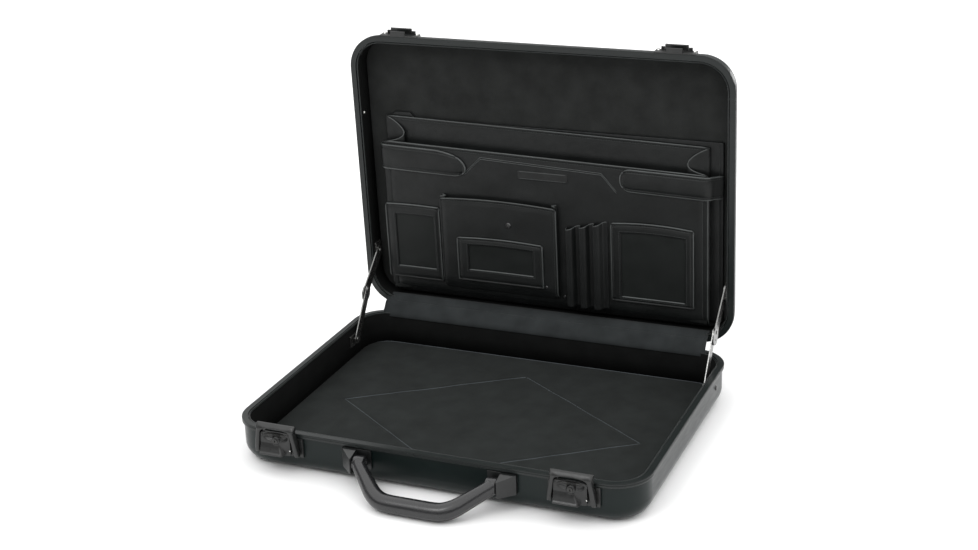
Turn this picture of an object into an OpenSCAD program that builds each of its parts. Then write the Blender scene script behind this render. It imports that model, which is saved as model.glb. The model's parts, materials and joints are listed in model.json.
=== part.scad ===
// Aluminium attache case, standing open on its base.
// Frame: +Z up, +X to the right, +Y towards the hinge. The origin is the centre of the base's bottom face.
// The lid's pieces are drawn closed, over the base, and module lid_pose() swings them open.

/* [Case] */
// Outer width, over the rim frames
case_w = 457; // [450:1:470]
// Outer depth, from the front rim to the rear rim
case_d = 336; // [332:1:344]
// Height of the base, from its bottom face to the rim plane
base_h = 46; // [46:1:50]
// Height of the lid, from the rim plane to its outer face
lid_h = 30; // [30:1:34]
// Corner radius of the rim frames, seen from above
corner_r = 40; // [38:1:42]
// Angle by which the lid stands open
lid_open = 88; // [86:1:92]

/* [Shells] */
// Thickness of the pressed aluminium sheet
sheet = 1.2; // [1:0.1:1.5]
// How far the rim frames stand out past the shells
rim_lip = 2; // [1.8:0.1:2.2]
// Radius of the round edge between the walls and the flat of each shell
edge_r = 18; // [17:0.5:18]
// Width of the rim frames, seen from above
frame_w = 6.5; // [6:0.1:6.6]
// Height of each rim frame
frame_t = 5; // [4.5:0.1:5.2]
// Gap between the two rim frames when the case is shut
rim_gap = 0.4; // [0.3:0.1:0.6]

/* [Latches] */
// Distance of each latch and catch from the line midway between the two latches
latch_x = 163; // [160:1:165]
// Half the width of a latch bail at its top bar
bail_top_w = 21.5; // [21.5:0.1:22.5]
// Half the width of a latch bail at its lower end
bail_low_w = 25.5; // [25.3:0.1:26]

/* [Handle] */
// Distance of each handle pivot arm from the middle
handle_arm_x = 73; // [72:0.5:75]
// Reach of the handle from its pivot line to the middle of the grip
handle_reach = 40.5; // [40:0.5:42]
// Radius of the grip
grip_r = 9.5; // [9:0.1:9.5]

/* [Organiser] */
// Half the width of the file pocket
file_w = 197; // [192:1:198]
// Height of the file pocket's front lip above the lid's hinge edge
file_lip = 203; // [198:1:206]
// Height of the organiser's back panel above the lid's hinge edge
back_lip = 233; // [228:1:236]

/* [Hidden] */

$fn = 48;

// Places that follow from the driving dimensions
front_y = -case_d / 2;
rear_y = case_d / 2;
lid_z = base_h + rim_gap;
shell_r = corner_r - rim_lip;
lining_in = 7.2;
lining_t = 1.9;
lining_face = lining_in + lining_t;
floor_in = lining_face + 0.4;
floor_top = 8.2;
floor_step = 5.2;
wall_low = 7.4;
lining_drop = 1.2;
flat_in = 20.5;
panel_h = 22.2;
panel_step = lid_h - 5.2;

// Hinge line behind the rear rim, at the rim plane
hinge_out = 5.5;
hinge_y = rear_y + hinge_out;
hinge_z = base_h + rim_gap / 2;
knuckle_r = 3.4;
hinge_pin_r = 1.25;
hinge_half = 185;
knuckles = 21;
knuckle_gap = 0.4;
leaf_t = 1.6;
leaf_h = 17;

// Fabric strip over the hinge line, half its length
cover_half = 191;
cover_t = 2;

// Rubber feet on the spine
foot_x = 150;
foot_r = 6;

// Folding stays, in the plane of each side wall
stay_base_y = 106;
stay_base_z = 30;
stay_elbow_y = 141.9;
stay_elbow_z = 80.1;
stay_lid_y = 183;
stay_lid_z = 116;
stay_t = 1.4;
stay_lower_w = 11;
stay_upper_w = 13;
elbow_r = 10;
stay_lower_x = 213.6;
stay_upper_x = 215.4;
bracket_x = 217.2;
bracket_t = 2.1;
stay_pin_r = 2;
rivet_head_r = 3.6;
bracket_half = 11;
run_gap = 0.06;

// Latch section, out is the distance from the front face of the rim
latch_shift = -4.5;
catch_shift = -2.2;
latch_pivot_out = 4.5;
latch_pivot_z = base_h - 2.5;
latch_pin_r = 1.5;
latch_pin_half = 17.4;
latch_reach = 30;
bail_pivot_out = 4.6;
bail_pivot_z = base_h - 19;
bail_pin_r = 1.4;
key_z = base_h - 7.8;
key_r = 2.7;

// Handle section, out is the distance from the front face of the rim
handle_shift = 3.5;
handle_out = 9.2;
handle_z = base_h - 17;
handle_drop = asin((handle_z - grip_r - 0.2) / handle_reach);
handle_pin_r = 2;
eye_r = 8.5;
arm_r = 8;
grip_half = 36;
mount_gap = 6.6;
mount_w = 16.5;
seam = 0.3;

// Organiser, in depth order from the lid's panel towards the opening
back_deep = 16;
front_deep = 5;
front_t = 2;
centre_deep = -3;
pocket_t = 1.2;

// Pockets and windows on the organiser: left, right, low and high edge
back_box = [-210, 210, 18, back_lip];
name_box = [-30, 30, 176, 186];
id_box = [-197, -128, 37, 130];
id_hole = [-186, -137, 51, 117];
id_film = [-190, -133, 47, 121];
centre_box = [-125, 20, 31, 147];
card_box = [-104, 2, 45, 100];
card_hole = [-91, -9, 60, 91];
card_film = [-96, -4, 55, 95];
side_box = [84, 181, 37, 134];
side_hole = [96, 171, 42, 122];
side_film = [92, 175, 41, 126];
film_t = 0.4;

// ---- Shared shapes ----

module rounded(w, d, r) {
  union() {
    square([w - 2 * r, d], center = true);
    square([w, d - 2 * r], center = true);
    for (sx = [-1, 1], sy = [-1, 1])
      translate([sx * (w / 2 - r), sy * (d / 2 - r)]) circle(r);
  }
}

// Sweeps a section round the case. In the section, x is the distance out from the corner centres.
module rim_sweep() {
  long = case_w - 2 * corner_r;
  deep = case_d - 2 * corner_r;
  corners = [[1, 1, 0], [-1, 1, 90], [-1, -1, 180], [1, -1, 270]];
  for (c = corners)
    translate([c[0] * long / 2, c[1] * deep / 2, 0]) rotate([0, 0, c[2]])
      rotate_extrude(angle = 90) children();
  for (turn = [0, 180]) rotate([0, 0, turn]) {
    translate([long / 2, deep / 2, 0]) rotate([90, 0, 0]) linear_extrude(deep) children();
    translate([-long / 2, deep / 2, 0]) rotate([90, 0, 90]) linear_extrude(long) children();
  }
}

module tray_section(h, inset) {
  wall = shell_r - inset;
  round_r = edge_r - inset;
  translate([0, inset]) square([wall - round_r, h - inset]);
  translate([0, edge_r]) square([wall, h - edge_r]);
  translate([wall - round_r, edge_r]) circle(round_r);
}

// Pressed tray with an open top: its flat at z = 0 and its edge at z = h
module pressed_tray(h) {
  rim_sweep() difference() {
    intersection() {
      tray_section(h, 0);
      square([shell_r, h]);
    }
    intersection() {
      tray_section(h + 1, sheet);
      square([shell_r, h + 1]);
    }
  }
  translate([0, 0, sheet / 2])
    cube([case_w - 2 * corner_r, case_d - 2 * corner_r, sheet], center = true);
}

module both_sides() {
  children();
  mirror([1, 0, 0]) children();
}

// Swings the closed lid's pieces open about the hinge line
module lid_pose() {
  translate([0, hinge_y, hinge_z]) rotate([-lid_open, 0, 0]) translate([0, -hinge_y, -hinge_z]) children();
}

// Block in the lid: x, height above the hinge edge, and depth below the rim plane
module lid_block(x0, x1, up0, up1, deep0, deep1) {
  translate([x0, rear_y - up1, lid_z + deep0]) cube([x1 - x0, up1 - up0, deep1 - deep0]);
}

// The same for a box given as [left, right, low, high]
module lid_panel(box, near, far) {
  lid_block(box[0], box[1], box[2], box[3], near, far);
}

// Block on the front face: x, distance out, and height
module front_block(x0, x1, out0, out1, z0, z1) {
  translate([x0, front_y - out1, z0]) cube([x1 - x0, out1 - out0, z1 - z0]);
}

// Cylinder along X through a point of the front face's section
module front_axle(x0, x1, out, z, r) {
  translate([x0, front_y - out, z]) rotate([0, 90, 0]) cylinder(h = x1 - x0, r = r);
}

// Bar with round ends in the plane x = x0, between two points of the side section
module link_bar(x0, t, ya, za, yb, zb, w) {
  len = norm([yb - ya, zb - za]);
  translate([x0, ya, za]) rotate([atan2(zb - za, yb - ya), 0, 0]) {
    translate([0, 0, -w / 2]) cube([t, len, w]);
    rotate([0, 90, 0]) cylinder(h = t, r = w / 2);
    translate([0, len, 0]) rotate([0, 90, 0]) cylinder(h = t, r = w / 2);
  }
}

module side_axle(x0, x1, y, z, r) {
  translate([x0, y, z]) rotate([0, 90, 0]) cylinder(h = x1 - x0, r = r);
}

// ---- Base ----

module base_shell() {
  color([0.10, 0.12, 0.12]) pressed_tray(base_h - frame_t - 0.1);
}

// Rim section with its lip, seen with the rim plane at y = 0 and the case below it
module frame_section() {
  out = corner_r;
  translate([out - frame_w, -frame_t]) square([frame_w - 0.5, frame_t]);
  translate([out - 1, -frame_t + 0.5]) square([1, frame_t - 2.9]);
  translate([out - 1, -1.7]) square([1, 1.2]);
}

module base_frame() {
  color([0.19, 0.20, 0.20]) {
    translate([0, 0, base_h]) rim_sweep() frame_section();
    translate([0, 0, base_h - 7]) rim_sweep()
      translate([shell_r - sheet - 1.6, 0]) square([1.4, 7 - frame_t]);
  }
}

module base_floor_lining() {
  color([0.17, 0.18, 0.18]) {
    translate([0, 0, sheet + 0.2]) linear_extrude(floor_step - sheet - 0.2)
      rounded(case_w - 2 * flat_in, case_d - 2 * flat_in, corner_r - flat_in);
    translate([0, 0, floor_step]) linear_extrude(floor_top - floor_step)
      rounded(case_w - 2 * floor_in, case_d - 2 * floor_in, corner_r - floor_in);
    translate([0, -6, floor_top]) linear_extrude(1)
      polygon([[-175, 0], [0, -124], [175, 0], [0, 118]]);
  }
}

module base_wall_lining() {
  color([0.09, 0.09, 0.09]) rim_sweep()
    translate([corner_r - lining_face, wall_low]) square([lining_t, base_h - lining_drop - wall_low]);
}

// ---- Hinge ----

function knuckle_x(i) = -hinge_half + i * 2 * hinge_half / knuckles;

module knuckle_row(first) {
  for (i = [first : 2 : knuckles - 1])
    translate([knuckle_x(i) + knuckle_gap / 2, hinge_y, hinge_z]) rotate([0, 90, 0])
      cylinder(h = 2 * hinge_half / knuckles - knuckle_gap, r = knuckle_r);
}

module knuckle_webs(first) {
  for (i = [first : 2 : knuckles - 1])
    translate([knuckle_x(i) + knuckle_gap / 2, rear_y + 1, hinge_z - 2.8])
      cube([2 * hinge_half / knuckles - knuckle_gap, 2.6, 2.6]);
}

// One leaf, drawn below the rim plane: plate on the rim frame and down over the shell
module hinge_leaf(first) {
  difference() {
    union() {
      translate([-hinge_half, rear_y + 0.1, hinge_z - leaf_h]) cube([2 * hinge_half, leaf_t, leaf_h - 0.5]);
      translate([-hinge_half, rear_y - rim_lip + 0.1, hinge_z - leaf_h])
        cube([2 * hinge_half, rim_lip, leaf_h - frame_t - 1]);
      knuckle_webs(first);
      knuckle_row(first);
    }
    translate([-hinge_half - 1, hinge_y, hinge_z]) rotate([0, 90, 0])
      cylinder(h = 2 * hinge_half + 2, r = hinge_pin_r + run_gap);
  }
}

module hinge_leaf_base() {
  color([0.22, 0.23, 0.23]) hinge_leaf(0);
}

// The lid's leaf is cut away round the feet on the lid's spine
module hinge_leaf_lid() {
  notch = 2 * foot_r + 2;
  color([0.22, 0.23, 0.23]) lid_pose() difference() {
    translate([0, 0, 2 * hinge_z]) mirror([0, 0, 1]) hinge_leaf(1);
    for (sx = [-1, 1])
      translate([sx * foot_x - notch / 2, rear_y - rim_lip - 1, lid_z + frame_t + 0.1])
        cube([notch, 6, leaf_h]);
  }
}

module hinge_pin() {
  color([0.6, 0.6, 0.6]) translate([-hinge_half - 0.6, hinge_y, hinge_z]) rotate([0, 90, 0])
    cylinder(h = 2 * hinge_half + 1.2, r = hinge_pin_r);
}

// The fabric strip over the hinge line is one sheet: each body carries the half that is fixed to it
module hinge_cover_base() {
  color([0.20, 0.21, 0.21])
    translate([-cover_half, rear_y - lining_face - cover_t - 0.2, base_h - 6])
      cube([2 * cover_half, cover_t, 5.6]);
}

module hinge_cover_lid() {
  color([0.20, 0.21, 0.21]) lid_pose()
    lid_block(-cover_half, cover_half, lining_face + 0.2, lining_face + 0.2 + cover_t, rim_gap, 14);
}

module foot_pair(z) {
  for (sx = [-1, 1])
    translate([sx * foot_x, rear_y - rim_lip + 0.1, z]) rotate([-90, 0, 0]) {
      cylinder(h = 9, r = foot_r);
      translate([0, 0, 9]) cylinder(h = 2.6, r1 = foot_r, r2 = foot_r - 1.4);
    }
}

module spine_feet_base() {
  color([0.08, 0.08, 0.08]) foot_pair(base_h - 24);
}

module spine_feet_lid() {
  color([0.08, 0.08, 0.08]) lid_pose() foot_pair(lid_z + frame_t + foot_r + 0.3);
}

// ---- Latches ----

// The two latches are the same part, so both stand the same distance to the left of their catches
module latch_place(side) {
  translate([side * latch_x + latch_shift, 0, 0]) children();
}

module latch_plate(side) {
  ear_x = 16;
  ear_half = 1;
  ear_r = 2.9;
  ear_low = base_h - 9;
  wall_out = 0.1 - rim_lip;
  step_out = 0.3;
  step_half = 20;
  under_frame = base_h - frame_t - 0.2;
  color([0.16, 0.17, 0.17]) latch_place(side) difference() {
    union() {
      front_block(-26, 28, wall_out, step_out + 0.3, edge_r + 1.5, under_frame);
      front_block(-step_half, step_half, step_out, step_out + 0.9, under_frame - 0.8, base_h - 1.2);
      for (sx = [-1, 1]) {
        front_block(sx * ear_x - ear_half, sx * ear_x + ear_half, step_out, latch_pivot_out,
          ear_low, latch_pivot_z + ear_r);
        front_axle(sx * ear_x - ear_half, sx * ear_x + ear_half, latch_pivot_out, latch_pivot_z, ear_r);
      }
    }
    front_axle(-latch_reach, latch_reach, latch_pivot_out, latch_pivot_z, latch_pin_r);
  }
}

module latch_pin(side) {
  color([0.7, 0.7, 0.7]) latch_place(side)
    front_axle(-latch_pin_half, latch_pin_half, latch_pivot_out, latch_pivot_z, latch_pin_r);
}

// Torsion spring round the latch pin, drawn as rings joined by a straight wire under them
module latch_spring(side) {
  wire_r = 0.35;
  coil_r = 1.95;
  turns = 9;
  pitch = 1.1;
  half = (turns - 1) / 2 * pitch;
  link_r = 0.25;
  color([0.7, 0.7, 0.72]) latch_place(side) {
    for (i = [0 : turns - 1])
      translate([i * pitch - half, front_y - latch_pivot_out, latch_pivot_z]) rotate([0, 90, 0])
        rotate_extrude() translate([coil_r, 0]) circle(wire_r, $fn = 16);
    front_axle(-half, half, latch_pivot_out, latch_pivot_z + coil_r, link_r);
  }
}

// Lever: two barrels on the pin, a plate down to the thumb lip, and the boss round the key cylinder
module latch_lever(side) {
  back = 3.2;
  front = 6.2;
  lip_out = 11.5;
  barrel_x = 10.8;
  barrel_half = 3.6;
  barrel_r = 2.8;
  barrel_low = base_h - 9;
  web_x = barrel_x + barrel_half;
  web_low = base_h - 12;
  plate_half = 18.8;
  low_z = base_h - 23.5;
  lip_top = base_h - 13;
  lip_w = 26;
  boss_r = key_r + 1.6;
  boss_long = 5.3;
  stop_x = 15.6;
  stop_r = 1.7;
  axle_half = 24.2;
  lap = 0.2;
  color([0.20, 0.21, 0.21]) latch_place(side) difference() {
    union() {
      for (sx = [-1, 1]) {
        front_axle(sx * barrel_x - barrel_half, sx * barrel_x + barrel_half,
          latch_pivot_out, latch_pivot_z, barrel_r);
        front_block(sx * barrel_x - barrel_half, sx * barrel_x + barrel_half,
          back, front, barrel_low, latch_pivot_z);
      }
      front_block(-web_x, web_x, back, front, web_low, barrel_low + 1);
      front_block(-plate_half, plate_half, back, front, low_z, web_low + 0.5);
      translate([0, front_y - back, key_z]) rotate([90, 0, 0]) cylinder(h = boss_long, r = boss_r);
      translate([-plate_half - lap, 0, 0]) rotate([90, 0, 90]) linear_extrude(lip_w)
        polygon([[front_y - front + lap, lip_top], [front_y - front - 1.3, lip_top],
          [front_y - lip_out, low_z + 2.6], [front_y - lip_out, low_z + 0.4],
          [front_y - lip_out + 1.3, low_z], [front_y - front + lap, low_z]]);
      translate([stop_x, front_y - front + lap, bail_pivot_z + 1]) rotate([90, 0, 0])
        cylinder(h = 1.5, r = stop_r);
      front_axle(-axle_half, axle_half, bail_pivot_out, bail_pivot_z, bail_pin_r);
    }
    front_axle(-latch_reach, latch_reach, latch_pivot_out, latch_pivot_z, latch_pin_r + run_gap);
    front_axle(barrel_half - barrel_x, barrel_x - barrel_half, latch_pivot_out, latch_pivot_z, barrel_r - lap);
    translate([0, front_y - back + 1, key_z]) rotate([90, 0, 0]) cylinder(h = 8, r = key_r + run_gap);
  }
}

// Bail: the hasp frame, with a top bar that hooks over the lid's catch and two cheeks that spread downwards
module latch_bail(side) {
  bar_z = base_h + 3;
  top_z = base_h + 10;
  low_z = base_h - 24;
  back = 1.9;
  front = 9.2;
  cheek = 4.4;
  lean = (bail_low_w - bail_top_w) / (top_z - low_z);
  bar_half = bail_top_w - cheek + lean * (top_z - bar_z);
  low_half = bail_low_w - cheek;
  hook_low = base_h - 0.8;
  hook_back = 7.3;
  bore_x = 22.2;
  bore_half = 2.4;
  color([0.21, 0.22, 0.22]) latch_place(side) difference() {
    union() {
      intersection() {
        translate([0, front_y - back, 0]) rotate([90, 0, 0]) linear_extrude(front - back)
          polygon([[-bail_top_w, top_z], [bail_top_w, top_z], [bail_low_w, low_z], [low_half, low_z],
            [bar_half, bar_z], [-bar_half, bar_z], [-low_half, low_z], [-bail_low_w, low_z]]);
        translate([-latch_reach, 0, 0]) rotate([90, 0, 90]) linear_extrude(2 * latch_reach)
          polygon([[front_y - back, top_z - 1.5], [front_y - back - 1.3, top_z],
            [front_y - front + 2.4, top_z], [front_y - front, top_z - 2.6],
            [front_y - front + 0.6, base_h - 14], [front_y - front + 2.2, low_z],
            [front_y - back - 0.7, low_z], [front_y - back, low_z + 4]]);
      }
      front_block(-bar_half - 0.5, bar_half + 0.5, hook_back, front - 0.3, hook_low, bar_z + 1);
    }
    for (sx = [-1, 1])
      front_axle(sx * bore_x - bore_half, sx * bore_x + bore_half,
        bail_pivot_out, bail_pivot_z, bail_pin_r + run_gap);
  }
}

// Key cylinder: a barrel with a cam at its back and a keyhole in its face
module key_cylinder(side) {
  cam_back = 1.4;
  cam_half = 1.2;
  cam_long = 4;
  slot_floor = 6.6;
  slot_w = 0.9;
  slot_h = 3.2;
  color([0.55, 0.55, 0.55]) latch_place(side) translate([0, front_y, key_z]) rotate([90, 0, 0]) difference() {
    union() {
      translate([0, 0, cam_back + 0.8]) cylinder(h = 6.9, r = key_r);
      translate([-cam_half, -cam_half, cam_back]) cube([cam_long, 2 * cam_half, 0.9]);
    }
    translate([-slot_w / 2, -slot_h / 2, slot_floor]) cube([slot_w, slot_h, 4]);
    translate([0, 0, slot_floor]) cylinder(h = 4, r = slot_w, $fn = 24);
  }
}

// Catch on the lid: a stepped plate with a guard above and a hook below the place of the bail's top bar
module lid_catch(side) {
  plate_half = 23;
  face = 1.2;
  lap = 0.1;
  frame_top = lid_z + frame_t + 0.2;
  hook_half = 9;
  hook_out = 6.2;
  guard_half = 13;
  guard_low = base_h + 11.2;
  guard_top = base_h + 13.4;
  guard_out = 7.8;
  lug_x = 15.4;
  lug_half = 2;
  color([0.18, 0.19, 0.19]) lid_pose() translate([side * latch_x + catch_shift, 0, 0]) {
    front_block(-plate_half, plate_half, lap, face, lid_z + 0.2, frame_top + lap);
    front_block(-plate_half, plate_half, lap - rim_lip, face, frame_top, guard_top);
    front_block(-hook_half, hook_half, face - lap, hook_out, lid_z + 0.2, base_h + 2.2);
    translate([-guard_half, 0, 0]) rotate([90, 0, 90]) linear_extrude(2 * guard_half)
      polygon([[front_y - face + lap, guard_low], [front_y - guard_out + 1, guard_low],
        [front_y - guard_out, guard_low + 0.8], [front_y - guard_out + 0.8, guard_low + 1.8],
        [front_y - face + lap, guard_top]]);
    for (sx = [-1, 1])
      front_block(sx * lug_x - lug_half, sx * lug_x + lug_half, face - lap, 4.6,
        guard_low - 0.2, guard_low + 2);
  }
}

// Rivets of the catches, and one through each side wall of the lid, seen on its lining
module lid_rivets() {
  head_t = 1.1;
  catch_rivet_x = 20.2;
  catch_rivet_z = lid_z + frame_t + 5;
  wall_rivet_y = rear_y - 240;
  wall_rivet_z = lid_z + 8;
  color([0.7, 0.7, 0.7]) lid_pose() {
    for (side = [-1, 1], sx = [-1, 1])
      translate([side * latch_x + catch_shift + sx * catch_rivet_x, front_y - head_t - 0.15, catch_rivet_z])
        rotate([90, 0, 0]) cylinder(h = head_t, r1 = 1.9, r2 = 1.2, $fn = 24);
    both_sides() translate([case_w / 2 - lining_face - 0.1, wall_rivet_y, wall_rivet_z]) rotate([0, -90, 0])
      cylinder(h = head_t, r1 = 2.2, r2 = 1.4, $fn = 24);
  }
}

// ---- Handle ----

module handle_place() {
  translate([handle_shift, 0, 0]) children();
}

// Wedge-shaped block outside each pivot arm, with a backing strip that runs on behind the arm
module handle_mount() {
  inner = handle_arm_x + mount_gap;
  outer = inner + mount_w;
  deep = 17;
  low_z = edge_r + 1;
  top_z = base_h - frame_t - 0.8;
  color([0.15, 0.16, 0.16]) difference() {
    union() {
      intersection() {
        translate([0, 0, low_z]) linear_extrude(top_z - low_z)
          polygon([[inner, front_y + rim_lip - 0.1], [inner, front_y - deep + 1], [inner + 1, front_y - deep],
            [outer, front_y - 2.5], [outer, front_y + rim_lip - 0.1]]);
        translate([inner - 1, 0, 0]) rotate([90, 0, 90]) linear_extrude(mount_w + 2)
          polygon([[front_y + rim_lip - 0.1, low_z], [front_y + rim_lip - 0.1, top_z], [front_y - 4, top_z],
            [front_y - deep - 0.5, top_z - 3.4], [front_y - deep - 0.5, low_z + 1.5],
            [front_y - deep + 1.5, low_z]]);
      }
      front_block(handle_arm_x - 8.5, inner + 0.1, -rim_lip + 0.1, 0.2, low_z, top_z);
    }
    front_axle(inner - 1, inner + 5.1, handle_out, handle_z, handle_pin_r);
  }
}

module handle_pins() {
  color([0.6, 0.6, 0.6]) handle_place() both_sides()
    front_axle(handle_arm_x - 5, handle_arm_x + mount_gap + 5, handle_out, handle_z, handle_pin_r);
}

// Handle in its own plane: pivot line along X at the origin, the grip at y = -handle_reach
module handle_form() {
  bend = 28;
  turn = 42;
  eye_half = 6;
  arm_end = [handle_arm_x - 2.4, -4];
  corner_x = grip_half - bend * tan(turn / 2);
  bend_low = [corner_x + bend * sin(turn), -handle_reach + bend * (1 - cos(turn))];
  slope = norm(arm_end - bend_low);
  overlap = 1;
  slope_turn = atan2(arm_end[1] - bend_low[1], arm_end[0] - bend_low[0]);
  translate([-corner_x, -handle_reach, 0]) rotate([0, 90, 0]) cylinder(h = 2 * corner_x, r = grip_r);
  both_sides() {
    translate([corner_x, -handle_reach + bend, 0]) rotate([0, 0, -90])
      rotate_extrude(angle = turn) translate([bend, 0]) circle(grip_r);
    translate([bend_low[0], bend_low[1], 0]) rotate([0, 90, slope_turn])
      translate([0, 0, -overlap]) cylinder(h = slope + overlap, r = arm_r);
    translate([arm_end[0], arm_end[1], 0]) sphere(arm_r + 0.3);
    translate([handle_arm_x - eye_half, 0, 0]) rotate([0, 90, 0]) cylinder(h = 2 * eye_half, r = eye_r);
  }
}

module handle_bores() {
  both_sides() translate([handle_arm_x - 8, 0, 0]) rotate([0, 90, 0])
    cylinder(h = 20, r = handle_pin_r + run_gap);
}

module handle_pose() {
  handle_place() translate([0, front_y - handle_out, handle_z]) rotate([handle_drop, 0, 0]) children();
}

// Space of the lower moulding, in the handle's own plane: below the grip's middle and clear of the eyes
module underside_space(gap) {
  translate([-60 + gap, -80, -40]) cube([120 - 2 * gap, 69 - gap, 38 - gap]);
}

module handle_grip() {
  color([0.14, 0.14, 0.15]) handle_pose() difference() {
    handle_form();
    handle_bores();
    underside_space(0);
  }
}

module handle_underside() {
  color([0.12, 0.12, 0.13]) handle_pose() intersection() {
    handle_form();
    underside_space(seam);
  }
}

// ---- Stays ----

// Fixed pin of a bracket and its head, inside the link that starts at x
module bracket_pin(x, y, z) {
  head_t = 1.2;
  side_axle(x - 0.4, bracket_x + 0.2, y, z, stay_pin_r);
  side_axle(x - 0.3 - head_t, x - 0.3, y, z, rivet_head_r);
}

module stay_bracket_base() {
  plate_h = 14;
  color([0.35, 0.36, 0.36]) {
    translate([bracket_x, stay_base_y - bracket_half, stay_base_z - 8])
      cube([bracket_t, 2 * bracket_half, plate_h]);
    bracket_pin(stay_lower_x, stay_base_y, stay_base_z);
  }
}

module stay_bracket_lid() {
  closed_y = hinge_y + (stay_lid_y - hinge_y) * cos(lid_open) - (stay_lid_z - hinge_z) * sin(lid_open);
  closed_z = hinge_z + (stay_lid_y - hinge_y) * sin(lid_open) + (stay_lid_z - hinge_z) * cos(lid_open);
  plate_h = 13;
  color([0.35, 0.36, 0.36]) {
    lid_pose() translate([bracket_x, closed_y - bracket_half, closed_z - 6])
      cube([bracket_t, 2 * bracket_half, plate_h]);
    bracket_pin(stay_upper_x, stay_lid_y, stay_lid_z);
  }
}

// Heads of the stays' rivets, outside the side walls of the base
module base_rivets() {
  color([0.7, 0.7, 0.7]) both_sides()
    translate([case_w / 2 - rim_lip + 0.05, stay_base_y, stay_base_z]) rotate([0, 90, 0])
      cylinder(h = 1.2, r1 = 3.2, r2 = 2, $fn = 32);
}

module stay_lower() {
  color([0.40, 0.41, 0.42]) difference() {
    union() {
      link_bar(stay_lower_x, stay_t, stay_base_y, stay_base_z, stay_elbow_y, stay_elbow_z, stay_lower_w);
      side_axle(stay_lower_x - 1, stay_lower_x + 0.1, stay_elbow_y, stay_elbow_z, rivet_head_r);
    }
    side_axle(stay_lower_x - 1, stay_upper_x, stay_base_y, stay_base_z, stay_pin_r + run_gap);
  }
}

module stay_upper() {
  elbow_plate_y = stay_elbow_y - 2;
  elbow_plate_z = stay_elbow_z - 4;
  elbow_hole_r = 2.4;
  color([0.40, 0.41, 0.42]) difference() {
    union() {
      link_bar(stay_upper_x, stay_t, stay_lid_y, stay_lid_z, stay_elbow_y, stay_elbow_z, stay_upper_w);
      side_axle(stay_upper_x, stay_upper_x + stay_t, elbow_plate_y, elbow_plate_z, elbow_r);
    }
    side_axle(stay_upper_x - 1, bracket_x, stay_lid_y, stay_lid_z, stay_pin_r + run_gap);
    side_axle(stay_upper_x - 1, bracket_x, stay_elbow_y, stay_elbow_z, elbow_hole_r);
    side_axle(stay_upper_x - 1, bracket_x, elbow_plate_y - 1, elbow_plate_z - 4, elbow_hole_r / 2);
  }
}

// ---- Lid ----

module lid_shell() {
  color([0.10, 0.12, 0.12]) lid_pose() translate([0, 0, lid_z + lid_h]) mirror([0, 0, 1])
    pressed_tray(lid_h - frame_t - 0.1);
}

module lid_frame() {
  color([0.19, 0.20, 0.20]) lid_pose() {
    translate([0, 0, lid_z]) mirror([0, 0, 1]) rim_sweep() frame_section();
    translate([0, 0, lid_z + frame_t]) rim_sweep()
      translate([shell_r - sheet - 1.6, 0]) square([1.4, 7 - frame_t]);
  }
}

module lid_panel_lining() {
  color([0.15, 0.16, 0.16]) lid_pose() {
    translate([0, 0, lid_z + panel_step]) linear_extrude(lid_h - sheet - 0.2 - panel_step)
      rounded(case_w - 2 * flat_in, case_d - 2 * flat_in, corner_r - flat_in);
    translate([0, 0, lid_z + panel_h]) linear_extrude(panel_step - panel_h)
      rounded(case_w - 2 * floor_in, case_d - 2 * floor_in, corner_r - floor_in);
  }
}

module lid_wall_lining() {
  color([0.09, 0.09, 0.09]) lid_pose() translate([0, 0, lid_z + lining_drop]) rim_sweep()
    translate([corner_r - lining_face, 0]) square([lining_t, lid_h - lining_drop - wall_low]);
}

// ---- Organiser ----

module organiser_back() {
  color([0.11, 0.12, 0.12]) lid_pose() lid_panel(back_box, back_deep, panel_h - 0.2);
}

module file_pocket_front() {
  color([0.11, 0.12, 0.12]) lid_pose() union() {
    lid_block(-file_w, file_w, 16, file_lip, front_deep, front_deep + front_t);
    lid_block(-file_w, file_w, 14, 16.2, front_deep, back_deep);
  }
}

// Side bellows of the file pocket, folded inwards as a V
module file_gusset() {
  fold_x = file_w - 24;
  fold_deep = 11.4;
  skin = 3;
  near_deep = front_deep + front_t + 0.1;
  far_deep = back_deep - 0.1;
  color([0.10, 0.11, 0.11]) lid_pose() translate([0, rear_y - 18, lid_z]) rotate([90, 0, 0])
    linear_extrude(file_lip - 22)
      polygon([[file_w, near_deep], [fold_x, fold_deep], [file_w, far_deep],
        [file_w - skin, far_deep], [fold_x - skin, fold_deep], [file_w - skin, near_deep]]);
}

module strap() {
  inner = 98;
  mid = 186.5;
  half = 13;
  front = front_deep - 2;
  color([0.10, 0.11, 0.11]) lid_pose() {
    translate([0, 0, lid_z + front]) linear_extrude(1.9) {
      translate([inner + 11, rear_y - mid]) circle(11);
      polygon([[inner + 11, rear_y - mid - 11], [inner + 30, rear_y - mid - half], [file_w + 2, rear_y - mid - half],
        [file_w + 2, rear_y - mid + half], [inner + 30, rear_y - mid + half], [inner + 11, rear_y - mid + 11]]);
    }
    lid_block(file_w + 0.2, file_w + 2, mid - half, mid + half, front, back_deep - 0.1);
  }
}

module name_patch() {
  color([0.14, 0.15, 0.15]) lid_pose() lid_panel(name_box, front_deep - 0.8, front_deep - 0.1);
}

// Flat pocket with a window: a framed plate over a shallow recess that is open at the top
module window_pocket(box, hole, face, back) {
  rim = 3;
  skin = 1;
  difference() {
    lid_panel(box, face, back);
    lid_block(box[0] + rim, box[1] - rim, box[2] + rim, box[3] + 1, face + skin, back + 1);
    lid_panel(hole, face - 1, back + 1);
  }
}

// Bellows pocket: a front wall, two sides and a floor, open at the top
module box_pocket(box, face, back) {
  difference() {
    lid_panel(box, face, back);
    lid_block(box[0] + pocket_t, box[1] - pocket_t, box[2] + pocket_t, box[3] + 1, face + pocket_t, back + 1);
  }
}

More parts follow.
